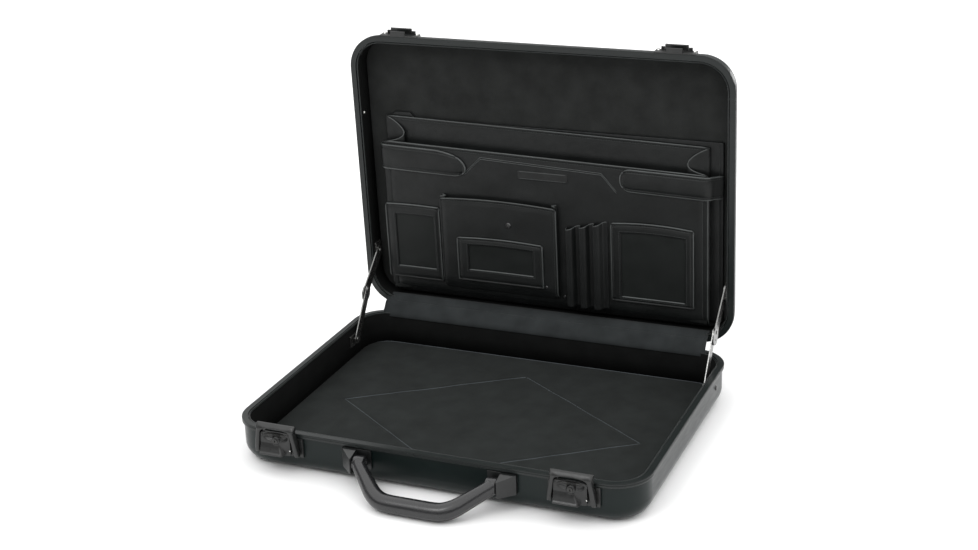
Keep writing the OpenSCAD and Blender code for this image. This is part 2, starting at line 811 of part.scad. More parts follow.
module id_pocket() {
  color([0.12, 0.13, 0.13]) lid_pose() window_pocket(id_box, id_hole, front_deep - 2.2, front_deep - 0.1);
}

module id_window() {
  color([0.3, 0.32, 0.33]) lid_pose() lid_panel(id_film, front_deep - 0.9, front_deep - 0.9 + film_t);
}

module centre_pocket() {
  color([0.12, 0.13, 0.13]) lid_pose() box_pocket(centre_box, centre_deep, front_deep - 0.1);
}

module card_pocket() {
  color([0.12, 0.13, 0.13]) lid_pose() window_pocket(card_box, card_hole, centre_deep - 2, centre_deep - 0.1);
}

module card_window() {
  color([0.3, 0.32, 0.33]) lid_pose() lid_panel(card_film, centre_deep - 0.8, centre_deep - 0.8 + film_t);
}

// Three pen pockets side by side, each a little taller than the one to its left
module pen_pockets() {
  first = 31;
  wide = 12.5;
  pitch = 16.5;
  top = 124;
  rise = 4;
  color([0.12, 0.13, 0.13]) lid_pose() for (i = [0 : 2])
    box_pocket([first + i * pitch, first + wide + i * pitch, 26, top + i * rise], centre_deep, front_deep - 0.1);
}

module side_pocket() {
  color([0.12, 0.13, 0.13]) lid_pose() window_pocket(side_box, side_hole, front_deep - 2.8, front_deep - 0.1);
}

module side_window() {
  color([0.3, 0.32, 0.33]) lid_pose() lid_panel(side_film, front_deep - 1.4, front_deep - 1.4 + film_t);
}

// Snap of the centre pocket and the rivets at the pockets' lower corners: x, height, depth, radius
module pocket_rivets() {
  spots = [[-39, 120, centre_deep, 3.2], [6, 47.5, centre_deep, 1.9], [25.5, 34, front_deep, 1.9]];
  head_t = 1.1;
  bevel = 0.8;
  color([0.7, 0.7, 0.7]) lid_pose() for (spot = spots)
    translate([spot[0], rear_y - spot[1], lid_z + spot[2] - head_t - 0.1])
      cylinder(h = head_t, r1 = spot[3] - bevel, r2 = spot[3], $fn = 32);
}

base_shell();
base_frame();
base_floor_lining();
base_wall_lining();
hinge_leaf_base();
hinge_pin();
hinge_cover_base();
spine_feet_base();
latch_plate(-1);  // latch_plate_left
latch_plate(1);  // latch_plate_right
latch_pin(-1);  // latch_pin_left
latch_pin(1);  // latch_pin_right
latch_spring(-1);  // latch_spring_left
latch_spring(1);  // latch_spring_right
latch_lever(-1);  // latch_lever_left
latch_lever(1);  // latch_lever_right
latch_bail(-1);  // latch_bail_left
latch_bail(1);  // latch_bail_right
key_cylinder(-1);  // key_cylinder_left
key_cylinder(1);  // key_cylinder_right
handle_place() mirror([1, 0, 0]) handle_mount();  // handle_mount_left
handle_place() handle_mount();  // handle_mount_right
handle_pins();
handle_grip();
handle_underside();
mirror([1, 0, 0]) stay_bracket_base();  // stay_bracket_base_left
stay_bracket_base();  // stay_bracket_base_right
base_rivets();
mirror([1, 0, 0]) stay_bracket_lid();  // stay_bracket_lid_left
stay_bracket_lid();  // stay_bracket_lid_right
mirror([1, 0, 0]) stay_lower();  // stay_lower_left
stay_lower();  // stay_lower_right
mirror([1, 0, 0]) stay_upper();  // stay_upper_left
stay_upper();  // stay_upper_right
lid_shell();
lid_frame();
lid_panel_lining();
lid_wall_lining();
hinge_leaf_lid();
hinge_cover_lid();
spine_feet_lid();
lid_catch(-1);  // catch_left
lid_catch(1);  // catch_right
lid_rivets();
organiser_back();
file_pocket_front();
mirror([1, 0, 0]) file_gusset();  // file_gusset_left
file_gusset();  // file_gusset_right
mirror([1, 0, 0]) strap();  // strap_left
strap();  // strap_right
name_patch();
id_pocket();
id_window();
centre_pocket();
card_pocket();
card_window();
pen_pockets();
side_pocket();
side_window();
pocket_rivets();
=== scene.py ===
"""Aluminium attache case, standing open on its base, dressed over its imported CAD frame.

Lengths are in millimetres until they reach a mesh, apart from the stage's. Two sets of coordinates are used:
the row frame (x, y, z), and the lid's own (x, up, deep), where up is the height above the lid's hinge
edge and deep is the depth below the lid's rim plane. lid_point() turns the second into the first.
"""
import json
import math
from dataclasses import dataclass, field

import bmesh
import bpy
from mathutils import Matrix, Vector, noise


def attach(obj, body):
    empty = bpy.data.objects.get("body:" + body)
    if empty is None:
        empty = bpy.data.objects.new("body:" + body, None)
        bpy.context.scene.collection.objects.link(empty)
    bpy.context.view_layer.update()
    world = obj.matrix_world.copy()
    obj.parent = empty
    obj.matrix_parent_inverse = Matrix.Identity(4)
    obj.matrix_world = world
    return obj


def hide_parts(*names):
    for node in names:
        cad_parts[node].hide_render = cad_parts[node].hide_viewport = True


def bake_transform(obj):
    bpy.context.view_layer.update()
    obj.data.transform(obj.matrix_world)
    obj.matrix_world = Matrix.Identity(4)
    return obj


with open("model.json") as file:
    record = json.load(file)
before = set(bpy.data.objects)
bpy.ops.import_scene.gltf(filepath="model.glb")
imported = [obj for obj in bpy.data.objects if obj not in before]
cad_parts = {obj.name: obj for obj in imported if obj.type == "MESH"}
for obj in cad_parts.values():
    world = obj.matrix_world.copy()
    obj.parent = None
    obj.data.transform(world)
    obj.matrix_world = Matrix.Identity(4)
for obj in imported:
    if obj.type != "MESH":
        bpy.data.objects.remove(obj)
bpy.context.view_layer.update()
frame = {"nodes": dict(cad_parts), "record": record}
nodes = frame["nodes"]

# ---- Dimensions, as in the CAD source ----

MM = 0.001
CASE_W, CASE_D = 457.0, 336.0
BASE_H = 46.0
CORNER_R = 40.0
RIM_GAP = 0.4
LINING_IN, LINING_FACE = 7.2, 9.1
FLOOR_IN = 9.5
FLOOR_TOP, FLOOR_THICK = 8.2, 3.0
PANEL_DEEP = 22.2
HINGE_Y = CASE_D / 2 + 5.5
HINGE_Z = BASE_H + RIM_GAP / 2
LID_Z = BASE_H + RIM_GAP
LID_OPEN = math.radians(88)
FRONT_Y, REAR_Y = -CASE_D / 2, CASE_D / 2
FILE_W = 197.0
FRONT_DEEP, BACK_DEEP, CENTRE_DEEP = 5.0, 16.0, -3.0
HANDLE_SHIFT, HANDLE_ARM_X, HANDLE_OUT, HANDLE_Z = 3.5, 73.0, 9.2, 29.0
HANDLE_REACH, GRIP_R = 40.5, 9.5
LATCH_X, LATCH_SHIFT = 163.0, -4.5
HANDLE_DROP = math.asin((HANDLE_Z - GRIP_R - 0.2) / HANDLE_REACH)


def row_point(x, y, z):
    return Vector((x, y, z)) * MM


def lid_point(x, up, deep):
    """A point of the lid, at rest, in the row frame."""
    y = REAR_Y - up - HINGE_Y
    z = LID_Z + deep - HINGE_Z
    cosine, sine = math.cos(LID_OPEN), math.sin(LID_OPEN)
    return row_point(x, HINGE_Y + y * cosine + z * sine, HINGE_Z - y * sine + z * cosine)


def handle_point(x, reach, lift):
    """A point of the handle: reach runs from its pivot line to the grip, lift is out of its plane."""
    cosine, sine = math.cos(HANDLE_DROP), math.sin(HANDLE_DROP)
    y = -reach * cosine - lift * sine
    z = -reach * sine + lift * cosine
    return row_point(x + HANDLE_SHIFT, FRONT_Y - HANDLE_OUT + y, HANDLE_Z + z)


def add_object(name, data):
    """A new object in the scene."""
    made = bpy.data.objects.new(name, data)
    bpy.context.scene.collection.objects.link(made)
    return made


# ---- Materials ----


class Shader:
    """A Principled material with the few nodes that every surface here needs."""

    def __init__(self, name, colour, rough, metallic=0.0, specular=0.5):
        self.material = bpy.data.materials.new(name)
        self.material.use_nodes = True
        self.tree = self.material.node_tree
        self.surface = self.tree.nodes["Principled BSDF"]
        self.colour = colour
        self.rough = rough
        self.set(Base_Color=(*colour, 1), Roughness=rough, Metallic=metallic, Specular_IOR_Level=specular)
        self.place = self.node("ShaderNodeTexCoord", "Object", {})
        self.relief = None

    def set(self, **values):
        """Sets sockets of the surface. Their names are written with _ for a space."""
        for key, value in values.items():
            self.surface.inputs[key.replace("_", " ")].default_value = value

    def node(self, kind, output, inputs, **settings):
        """Adds a node and returns one output. inputs maps its sockets to values or to what feeds them."""
        made = self.tree.nodes.new(kind)
        for key, value in settings.items():
            setattr(made, key, value)
        for key, value in inputs.items():
            if isinstance(value, bpy.types.NodeSocket):
                self.tree.links.new(value, made.inputs[key])
            else:
                made.inputs[key].default_value = value
        return made.outputs[output]

    def feed(self, source, target):
        """Links a node's output to the material's surface."""
        self.tree.links.new(source, self.surface.inputs[target])

    def noise(self, scale, detail=3.0, stretch=(1, 1, 1)):
        place = self.node("ShaderNodeMapping", "Vector", {"Vector": self.place, "Scale": stretch})
        return self.node("ShaderNodeTexNoise", "Fac", {"Vector": place, "Scale": scale, "Detail": detail})

    def pebbles(self, scale):
        inputs = {"Vector": self.place, "Scale": scale}
        return self.node("ShaderNodeTexVoronoi", "Distance", inputs, feature="SMOOTH_F1")

    def weave(self, scale, axis):
        inputs = {"Vector": self.place, "Scale": scale, "Distortion": 0.6, "Detail Scale": 3.0}
        return self.node("ShaderNodeTexWave", "Fac", inputs, bands_direction=axis)

    def product(self, first, second):
        return self.node("ShaderNodeMath", "Value", {0: first, 1: second}, operation="MULTIPLY")

    def spread(self, source, low, high):
        """source, from 0.3 to 0.7, spread over low to high."""
        inputs = {"Value": source, "From Min": 0.3, "From Max": 0.7, "To Min": low, "To Max": high}
        return self.node("ShaderNodeMapRange", "Result", inputs)

    def shade(self, factor):
        return (*[channel * factor for channel in self.colour], 1)

    def vary_colour(self, grain, dark, light):
        """Base colour between the material's colour times dark and times light, over noise(*grain)."""
        share = self.spread(self.noise(*grain), 0, 1)
        inputs = {"Factor": share, "A": self.shade(dark), "B": self.shade(light)}
        self.feed(self.node("ShaderNodeMix", "Result", inputs, data_type="RGBA"), "Base Color")

    def vary_rough(self, grain, change):
        self.feed(self.spread(self.noise(*grain), self.rough - change, self.rough + change), "Roughness")

    def bump(self, source, depth_mm, strength):
        """Adds a layer of relief over the layers there are."""
        inputs = {"Height": source, "Distance": depth_mm * MM, "Strength": strength}
        if self.relief is not None:
            inputs["Normal"] = self.relief
        self.relief = self.node("ShaderNodeBump", "Normal", inputs)
        self.feed(self.relief, "Normal")


def anodised(name, colour, rough, specular):
    """Dark anodised aluminium: a fine satin grain, faint rolling marks and slightly uneven gloss."""
    made = Shader(name, colour, rough, 0.0, specular)
    made.vary_colour((14, 4), 0.86, 1.14)
    made.vary_rough((60, 5, (1, 1, 6)), 0.05)
    made.bump(made.noise(900, 2), 0.02, 0.5)
    made.set(Sheen_Weight=0.3, Sheen_Roughness=0.25)
    return made


def worked_metal(name, colour, rough, metallic=0.9):
    """Plated or cast metal with fine rub marks and worn patches."""
    made = Shader(name, colour, rough, metallic)
    made.vary_colour((120, 4), 0.75, 1.2)
    made.vary_rough((260, 5, (1, 5, 1)), 0.08)
    made.bump(made.noise(700, 3), 0.03, 0.4)
    return made


def cloth(name, colour, thread_mm, rough=0.95, sheen=0.03):
    """Woven lining: two crossed sets of threads, a little fuzz and uneven dye."""
    made = Shader(name, colour, rough, 0.0, 0.1)
    waves_per_m = 1 / (thread_mm * MM) / 6.28
    across = made.product(made.weave(waves_per_m, "X"), made.weave(waves_per_m, "DIAGONAL"))
    made.vary_colour((45, 6), 0.8, 1.2)
    made.bump(across, 0.12, 0.5)
    made.bump(made.noise(1200, 2), 0.08, 0.5)
    made.set(Sheen_Weight=sheen, Sheen_Roughness=0.6)
    return made


def leather(name, colour, rough=0.5, grain=900, specular=0.5):
    """Fine-grained leather: pebbles, creases between them and a broken gloss."""
    made = Shader(name, colour, rough, 0.0, specular)
    made.vary_colour((30, 5), 0.78, 1.25)
    made.vary_rough((150, 4), 0.08)
    made.bump(made.pebbles(grain), 0.18, 0.6)
    made.bump(made.noise(90, 5), 0.25, 0.35)
    return made


def moulded(name, colour, rough, specular=0.5):
    """Moulded plastic with a slightly wavy, scuffed gloss."""
    made = Shader(name, colour, rough, 0.0, specular)
    made.vary_colour((40, 4), 0.9, 1.12)
    made.vary_rough((180, 6), 0.05)
    made.bump(made.noise(240, 3), 0.02, 0.4)
    return made


# Each row: the function that makes it, then its name, its colour and what else the function takes
MATERIAL_ROWS = (
    (anodised, "shell_metal", (0.0035, 0.0078, 0.0074), 0.33, 0.22),
    (anodised, "rim_metal", (0.0085, 0.0112, 0.0108), 0.32, 0.34),
    (cloth, "floor_lining", (0.0125, 0.0145, 0.014), 0.6),
    (cloth, "panel_lining", (0.018, 0.019, 0.0185), 0.6),
    (cloth, "wall_lining", (0.0055, 0.0058, 0.0057), 0.6, 0.9, 0.0),
    (worked_metal, "hinge_metal", (0.05, 0.05, 0.05), 0.38),
    (cloth, "cover_fabric", (0.0265, 0.0295, 0.0305), 0.8),
    (moulded, "foot_rubber", (0.008, 0.008, 0.008), 0.75, 0.3),
    (worked_metal, "latch_metal", (0.0088, 0.0094, 0.0091), 0.36, 0.0),
    (worked_metal, "bright_steel", (0.62, 0.62, 0.6), 0.2, 1.0),
    (worked_metal, "mount_metal", (0.0072, 0.008, 0.008), 0.36, 0.0),
    (moulded, "handle_gloss", (0.0085, 0.0087, 0.0095), 0.25, 0.6),
    (moulded, "handle_matte", (0.014, 0.014, 0.0145), 0.34, 0.55),
    (worked_metal, "stay_steel", (0.2, 0.2, 0.195), 0.22),
    (leather, "organiser_leather", (0.0072, 0.0081, 0.008), 0.48, 900, 0.26),
    (leather, "patch_leather", (0.0105, 0.0112, 0.011), 0.45, 1300, 0.3),
    (moulded, "clear_film", (0.0125, 0.014, 0.0135), 0.42, 0.12),
    # The rest have no slot in the record
    # Lever: darker than the hasp, painted shade of the dish under the hasp's arch
    (worked_metal, "lever_metal", (0.0062, 0.0066, 0.0065), 0.34, 0.0),
    # Dark steel: the base rivets' own colour, and painted shade on the parts inside the latches
    (worked_metal, "key_steel", (0.035, 0.035, 0.034), 0.3, 0.6),
    # Light cord on the floor's creases: painted highlight of the creases' lit side
    (cloth, "crease", (0.06, 0.068, 0.074), 0.5),
    # Edge leather: partly the edges' binding, partly a painted highlight where rolled edges and embossed
    # lines catch light
    (leather, "edge_leather", (0.042, 0.047, 0.046), 0.36, 1300, 0.6),
    (cloth, "thread", (0.04, 0.044, 0.043), 0.3, 0.8, 0.05),
    (worked_metal, "snap_dark", (0.09, 0.09, 0.09), 0.3, 0.9),
)
MATERIALS = {row[1]: row[0](*row[1:]).material for row in MATERIAL_ROWS}


def dress_cad_nodes():
    """Gives each carried-over CAD node its slot's material."""
    slots = {part["node"]: part["material_slot"] for part in frame["record"]["subparts"]}
    for name, obj in nodes.items():
        obj.data.materials.clear()
        obj.data.materials.append(MATERIALS[slots[name]])


dress_cad_nodes()


# ---- Lights, floor and camera, in metres ----

CAMERA_PLACE = (0.654774, -1.509613, 0.82138)
# Azimuth, elevation and roll, in degrees
CAMERA_ANGLES = (23.253, 21.392, -2.237)
CAMERA_LENS = 61.19
# Each light: name, place, the point it shines at, its two sides and its watts
LIGHTS = (
    ("ceiling", (0, -0.3, 4.6), (0, -0.3, 0), (15, 15), 1000),
    ("front_key", (-0.5, -1.6, 2.0), (0, 0.1, 0.1), (0.8, 0.8), 9),
    ("right_side", (2.0, 0.2, 0.9), (0.1, 0.1, 0.1), (0.9, 0.9), 7),
    ("rear_right", (1.3, 2.3, 0.5), (0.23, 0.1, 0.15), (1.0, 0.6), 14),
)
WORLD_STRENGTH = 0.4
FLOOR_HALF, FLOOR_DROP = 8, 0.0004


def look_matrix(position, azimuth, elevation, roll):
    """Camera matrix. Azimuth 0 looks along +Y, and elevation is above the horizon, in degrees."""
    turn, rise, tilt = map(math.radians, (azimuth, elevation, roll))
    back = Vector((math.sin(turn) * math.cos(rise), -math.cos(turn) * math.cos(rise), math.sin(rise)))
    right = Vector((math.cos(turn), math.sin(turn), 0))
    up = back.cross(right)
    side = right * math.cos(tilt) + up * math.sin(tilt)
    top = up * math.cos(tilt) - right * math.sin(tilt)
    matrix = Matrix((side, top, back)).transposed().to_4x4()
    matrix.translation = Vector(position)
    return matrix


def add_camera():
    camera = bpy.data.cameras.new("camera")
    camera.lens = CAMERA_LENS
    holder = add_object("camera", camera)
    holder.matrix_world = look_matrix(CAMERA_PLACE, *CAMERA_ANGLES)
    bpy.context.scene.camera = holder


def add_light(name, position, target, size, power):
    """A rectangular lamp, which the camera doesn't see."""
    light = bpy.data.lights.new(name, "AREA")
    light.shape = "RECTANGLE"
    light.size, light.size_y = size
    light.energy = power
    holder = add_object(name, light)
    holder.location = position
    aim = Vector(target) - Vector(position)
    holder.rotation_euler = aim.to_track_quat("-Z", "Y").to_euler()
    holder.visible_camera = False


def add_stage():
    """Plain pale floor in a white world, lit from above, the front, the right and the right rear."""
    mesh = bpy.data.meshes.new("floor")
    corners = [(x * FLOOR_HALF, y * FLOOR_HALF, 0) for x, y in ((-1, -1), (1, -1), (1, 1), (-1, 1))]
    mesh.from_pydata(corners, [], [(0, 1, 2, 3)])
    floor = add_object("floor", mesh)
    floor.location.z = -FLOOR_DROP
    paper = Shader("paper", (0.9, 0.9, 0.9), 0.9, 0.0, 0.1)
    paper.vary_colour((3, 3), 0.99, 1.01)
    mesh.materials.append(paper.material)
    world = bpy.data.worlds.new("studio")
    world.use_nodes = True
    background = world.node_tree.nodes["Background"]
    background.inputs["Color"].default_value = (1, 1, 1, 1)
    background.inputs["Strength"].default_value = WORLD_STRENGTH
    bpy.context.scene.world = world
    for light in LIGHTS:
        add_light(*light)
    bpy.context.scene.view_settings.view_transform = "Standard"


add_camera()
add_stage()


# ---- Mesh helpers ----


def smooth_step(value):
    value = min(1.0, max(0.0, value))
    return value * value * (3 - 2 * value)


def bell(value, width):
    return math.exp(-((value / width) ** 2))


class Parts:
    """Gathers several meshes into one piece."""

    def __init__(self):
        self.points = []
        self.faces = []

    def add(self, points, faces):
        first = len(self.points)
        self.points.extend(points)
        self.faces.extend([tuple(first + corner for corner in face) for face in faces])

    def piece(self, name, material, body):
        mesh = bpy.data.meshes.new(name)
        mesh.from_pydata(self.points, [], self.faces)
        shaped = bmesh.new()
        shaped.from_mesh(mesh)
        bmesh.ops.recalc_face_normals(shaped, faces=shaped.faces)
        shaped.to_mesh(mesh)
        shaped.free()
        mesh.materials.append(MATERIALS[material])
        mesh.shade_smooth()
        made = add_object(name, mesh)
        if body:
            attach(made, body)
        return made

    def tube(self, path, radius_mm, sides=8, closed=False):
        self.add(*sweep(path, round_section(radius_mm, sides, not closed), closed))

    def child(self, name, material, parent):
        """A piece that moves with its parent."""
        self.piece(name, material, None).parent = parent


def rings_to_faces(rings, sides, closed_path):
    """Quads between neighbouring rings of a sweep, and a fan over each open end."""
    faces = []
    for ring in range(rings if closed_path else rings - 1):
        low, high = ring * sides, ((ring + 1) % rings) * sides
        for side in range(sides):
            after = (side + 1) % sides
            faces.append((low + side, low + after, high + after, high + side))
    if not closed_path:
        faces.append(tuple(reversed(range(sides))))
        faces.append(tuple(range((rings - 1) * sides, rings * sides)))
    return faces


def sweep(path, section, closed=False):
    """Sweeps section(share, tangent) -> ring of points relative to the path, along path."""
    points, sides = [], 0
    count = len(path)
    for index, place in enumerate(path):
        before = path[index - 1] if index or closed else place
        after = path[(index + 1) % count] if index + 1 < count or closed else place
        ring = section(index / (count - 1), (after - before).normalized())
        sides = len(ring)
        points.extend(place + offset for offset in ring)
    return points, rings_to_faces(count, sides, closed)


# No path here runs this way
OFF_AXIS = Vector((0.31, 0.17, 0.93))
TUBE_END = 0.35


def round_section(radius_mm, sides, ends):
    """Round tube section. With ends, the tube narrows at both ends."""

    def section(share, tangent):
        side = tangent.cross(OFF_AXIS).normalized()
        up = side.cross(tangent)
        radius = radius_mm * MM * (TUBE_END if ends and share in (0.0, 1.0) else 1.0)
        angles = [2 * math.pi * step / sides for step in range(sides)]
        return [side * math.cos(a) * radius + up * math.sin(a) * radius for a in angles]

    return section


def along(path, pitch):
    """Points at equal distances along a path of points, ends included."""
    steps = [(b - a).length for a, b in zip(path, path[1:])]
    total = sum(steps)
    count = max(1, round(total / pitch))
    result, index, walked = [], 0, 0.0
    for number in range(count + 1):
        goal = total * number / count
        while index < len(steps) - 1 and walked + steps[index] < goal:
            walked += steps[index]
            index += 1
        share = (goal - walked) / max(steps[index], 1e-9)
        result.append(path[index].lerp(path[index + 1], min(1.0, share)))
    return result


STITCH_PITCH, STITCH_LENGTH, STITCH_R = 3.1, 2.2, 0.3


def add_stitches(parts, path):
    """A row of short threads along a path in the row frame."""
    marks = along(path, STITCH_PITCH * MM)
    for start, end in zip(marks, marks[1:]):
        reach = (end - start) * (STITCH_LENGTH / STITCH_PITCH)
        sunk = [start, start + reach * 0.25, start + reach * 0.75, start + reach]
        parts.tube(sunk, STITCH_R, 5)


def curve_through(knots, per_span=8):
    """Catmull-Rom curve through knots, which may have any number of coordinates."""
    knots = [Vector(knot) for knot in knots]
    ends = [2 * knots[0] - knots[1], *knots, 2 * knots[-1] - knots[-2]]
    result = []
    for k in range(1, len(ends) - 2):
        a, b, c, d = ends[k - 1 : k + 3]
        for step in range(per_span):
            u = step / per_span
            square, cube = 2 * a - 5 * b + 4 * c - d, 3 * b - a - 3 * c + d
            result.append(0.5 * (2 * b + (c - a) * u + square * u**2 + cube * u**3))
    result.append(knots[-1])
    return result


# ---- Flat soft pieces ----

# Grid lines set in from an edge, and to both sides of a seam
EDGE_MARKS = (0, 0.15, 0.4, 0.9, 1.8)
SEAM_MARKS = (-1.0, -0.4, 0, 0.4, 1.0)
# How far in an edge rounds over, how wide a seam's groove is, and how far in the waves reach their height
EDGE_ROUND, SEAM_WIDE, WAVE_MARGIN = 0.9, 0.6, 12
# Left, right, bottom and top
SIDES = "lrbt"


@dataclass
class Panel:
    """A sheet cut to a rounded rectangle and laid on a surface, with sewn grooves and an optional window.

    surface(s, t, h) gives the row-frame point at s across, t along and h proud. box is (s0, s1, t0, t1),
    corners holds (across, along) radii for the corners low-left, low-right, high-left and high-right,
    crown(s) raises the high edge, seams maps a side to the inset of its stitching, and groove is that
    seam's depth. wave is the height of the sheet's waviness, cell the largest gap between grid lines, and
    relief(s, t) adds height.
    """

    surface: callable
    box: tuple
    thick: float
    corners: tuple = ((2, 2),) * 4
    crown: callable = lambda s: 0.0
    hole: tuple = None
    seams: dict = field(default_factory=dict)
    wave: float = 0.25
    cell: float = 5.0
    relief: callable = None
    groove: float = 0.45

    def marks(self, first, sides):
        """Grid positions across the box, close together at edges and along seams."""
        low, high = self.box[first : first + 2]
        places = {low + e for e in EDGE_MARKS} | {high - e for e in EDGE_MARKS}
        if self.hole:
            hole_low, hole_high = self.hole[first : first + 2]
            places |= {hole_low - e for e in EDGE_MARKS} | {hole_high + e for e in EDGE_MARKS}
        for side, edge, inward in zip(sides, (low, high), (1, -1)):
            if side in self.seams:
                places |= {edge + self.seams[side] * inward + e for e in SEAM_MARKS}
        ordered = []
        for place in sorted(places):
            if low <= place <= high and (not ordered or place - ordered[-1] > 0.08):
                ordered.append(place)
        filled = [ordered[0]]
        for place in ordered[1:]:
            gap = place - filled[-1]
            extra = int(gap // self.cell)
            start = filled[-1]
            filled.extend(start + gap * k / (extra + 1) for k in range(1, extra + 1))
            filled.append(place)
        return filled

    def spot(self, s, t):
        """Where a point of the plain rectangle goes once its corners are rounded and its top is crowned."""
        s0, s1, t0, t1 = self.box
        for index, (across, up) in enumerate(self.corners):
            right, high = index % 2, index // 2
            sign_s, sign_t = (-1, 1)[right], (-1, 1)[high]
            middle_s = (s0, s1)[right] - sign_s * across
            middle_t = (t0, t1)[high] - sign_t * up
            ds = (s - middle_s) / across * sign_s
            dt = (t - middle_t) / up * sign_t
            if ds > 0 and dt > 0:
                s = middle_s + sign_s * across * ds * math.sqrt(max(0, 1 - dt * dt / 2))
                t = middle_t + sign_t * up * dt * math.sqrt(max(0, 1 - ds * ds / 2))
                break
        return s, t + self.crown(s) * (t - t0) / (t1 - t0)

    def height(self, s, t):
        """Height of the outer face over the inner one."""
        s0, s1, t0, t1 = self.box
        gaps = {"l": s - s0, "r": s1 - s, "b": t - t0, "t": t1 - t}
        nearest = min(gaps.values())
        if self.hole:
            h0, h1, v0, v1 = self.hole
            outside = max(h0 - s, s - h1, v0 - t, t - v1)
            nearest = min(nearest, max(0.0, outside))
        turn = 1 - min(1.0, nearest / EDGE_ROUND)
        height = self.thick * (0.35 + 0.65 * math.sqrt(1 - turn * turn))
        for side, inset in self.seams.items():
            height -= self.groove * bell(gaps[side] - inset, SEAM_WIDE)
        settle = smooth_step(nearest / WAVE_MARGIN)
        height += self.wave * settle * noise.noise(Vector((s * 0.035, t * 0.045, self.thick + self.cell)))
        if self.relief:
            height += self.relief(s, t)
        return height

    def point(self, s, t, lift=0.0):
        s_cut, t_cut = self.spot(s, t)
        return self.surface(s_cut, t_cut, self.height(s, t) + lift)

    def build(self, name, material, body):
        h0, h1, v0, v1 = self.hole or (None,) * 4
        columns, rows = self.marks(0, "lr"), self.marks(2, "bt")
        wide, count = len(columns), len(columns) * len(rows)
        points = [self.point(s, t) for t in rows for s in columns]
        points += [self.surface(*self.spot(s, t), 0.0) for t in rows for s in columns]
        faces, directed = [], {}
        for j in range(len(rows) - 1):
            for i in range(wide - 1):
                middle_s = (columns[i] + columns[i + 1]) / 2
                middle_t = (rows[j] + rows[j + 1]) / 2
                if self.hole and h0 < middle_s < h1 and v0 < middle_t < v1:
                    continue
                quad = (j * wide + i, j * wide + i + 1, (j + 1) * wide + i + 1, (j + 1) * wide + i)
                faces.append(quad)
                faces.append(tuple(count + corner for corner in reversed(quad)))
                directed.update(dict.fromkeys(zip(quad, quad[1:] + quad[:1])))
        rim = [(a, b) for a, b in directed if (b, a) not in directed]
        faces.extend((b, a, a + count, b + count) for a, b in rim)
        used = sorted({corner for face in faces for corner in face})
        order = {corner: place for place, corner in enumerate(used)}
        parts = Parts()
        parts.add([points[corner] for corner in used], [tuple(order[c] for c in face) for face in faces])
        return parts.piece(name, material, body)

    def side(self, side, inset, lift=0.05, from_hole=False):
        """Path along one side, inset from it, or that far outside the window."""
        s0, s1, t0, t1 = self.box
        if from_hole:
            h0, h1, v0, v1 = self.hole
            s0, s1, t0, t1 = h0 - 2 * inset, h1 + 2 * inset, v0 - 2 * inset, v1 + 2 * inset
        low_s, high_s, low_t, high_t = s0 + inset, s1 - inset, t0 + inset, t1 - inset
        ends = {
            "l": ((low_s, low_t), (low_s, high_t)),
            "r": ((high_s, low_t), (high_s, high_t)),
            "b": ((low_s, low_t), (high_s, low_t)),
            "t": ((low_s, high_t), (high_s, high_t)),
        }[side]
        steps = 40
        shares = [step / steps for step in range(steps + 1)]
        (sa, ta), (sb, tb) = ends
        return [self.point(sa + (sb - sa) * u, ta + (tb - ta) * u, lift) for u in shares]


# What most of the organiser's sheets are made of and lie on
LEATHER = "organiser_leather"
FRONT_PANEL = "file_pocket_front_panel"


def lay_sheet(
    panel, name, node, slot=LEATHER, body="lid"
):
    made = panel.build(name, slot, body)
    if node:
        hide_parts(node)
    return made


def edges(sides, inset, from_hole=False):
    """Rows along several sides at one inset, from the window when from_hole is set."""
    return [(side, inset, from_hole) for side in sides]


def sew(panel, parent, beads=(), bead_r=0.75, rows=None):
    """Adds rolled edges along beads, and stitches along rows or, with no rows given, along every seam."""
    if rows is None:
        rows = [(side, inset, False) for side, inset in panel.seams.items()]
    threads, rolls = Parts(), Parts()
    for side, inset, from_hole in rows:
        add_stitches(threads, panel.side(side, inset, 0.08, from_hole))
    for side, inset, from_hole in beads:
        rolls.tube(panel.side(side, inset, -0.35, from_hole), bead_r)
    # Rolled edges take the lighter edge leather: binding plus a painted highlight along them
    for parts, name, material in ((threads, "stitches", "thread"), (rolls, "rolled_edges", "edge_leather")):
        if parts.points:
            parts.child(f"{parent.name}_{name}", material, parent)


def lid_surface(deep):
    """Surface in the lid at a depth, which may be a number or depend on (s, t)."""
    depth = deep if callable(deep) else (lambda s, t: deep)
    return lambda s, t, h: lid_point(s, t, depth(s, t) - h)


def arch(middle, half, rise):
    """Crown that is highest in the middle of a pocket's mouth."""
    return lambda s: rise * (1 - ((s - middle) / half) ** 2)


def fall(rise_left):
    """Crown that drops evenly from the left end of the organiser to the right one."""
    return lambda s: -rise_left * s / FILE_W


def foot_curve(front, back, start, height):
    """Depth of a panel whose foot curves back to the panel behind it."""
    return lambda s, t: back + (front - back) * smooth_step((t - start) / height + 0.1)


def dense_route(knots, step):
    """Points on straight lines through knots, no further apart than step."""
    route = []
    for a, b in zip(knots, knots[1:]):
        count = max(1, round(math.dist(a, b) / step))
        route.extend(tuple(p + (q - p) * k / count for p, q in zip(a, b)) for k in range(count))
    return route + [knots[-1]]


def build_back_board():
    """The organiser's stiff back with a low tab at its left, and the rear leather of its file pocket."""

    def top(s):
        return 6.5 * smooth_step((s + 189) / 3) * smooth_step((-162 - s) / 3)

    board = Panel(lid_surface(PANEL_DEEP - 0.3), (-196, 211, 18, 234), 3.0, crown=top, seams={"l": 5, "r": 5})
    made = lay_sheet(board, "organiser_board", "organiser_back")
    sew(board, made)

    rear = Panel(lid_surface(BACK_DEEP + 2.2), (-196.5, 196.5, 20, 232), 2.0, crown=fall(4), seams={"t": 3.2})
    made = lay_sheet(rear, "file_pocket_rear", None)
    sew(rear, made, edges("t", 0.3))


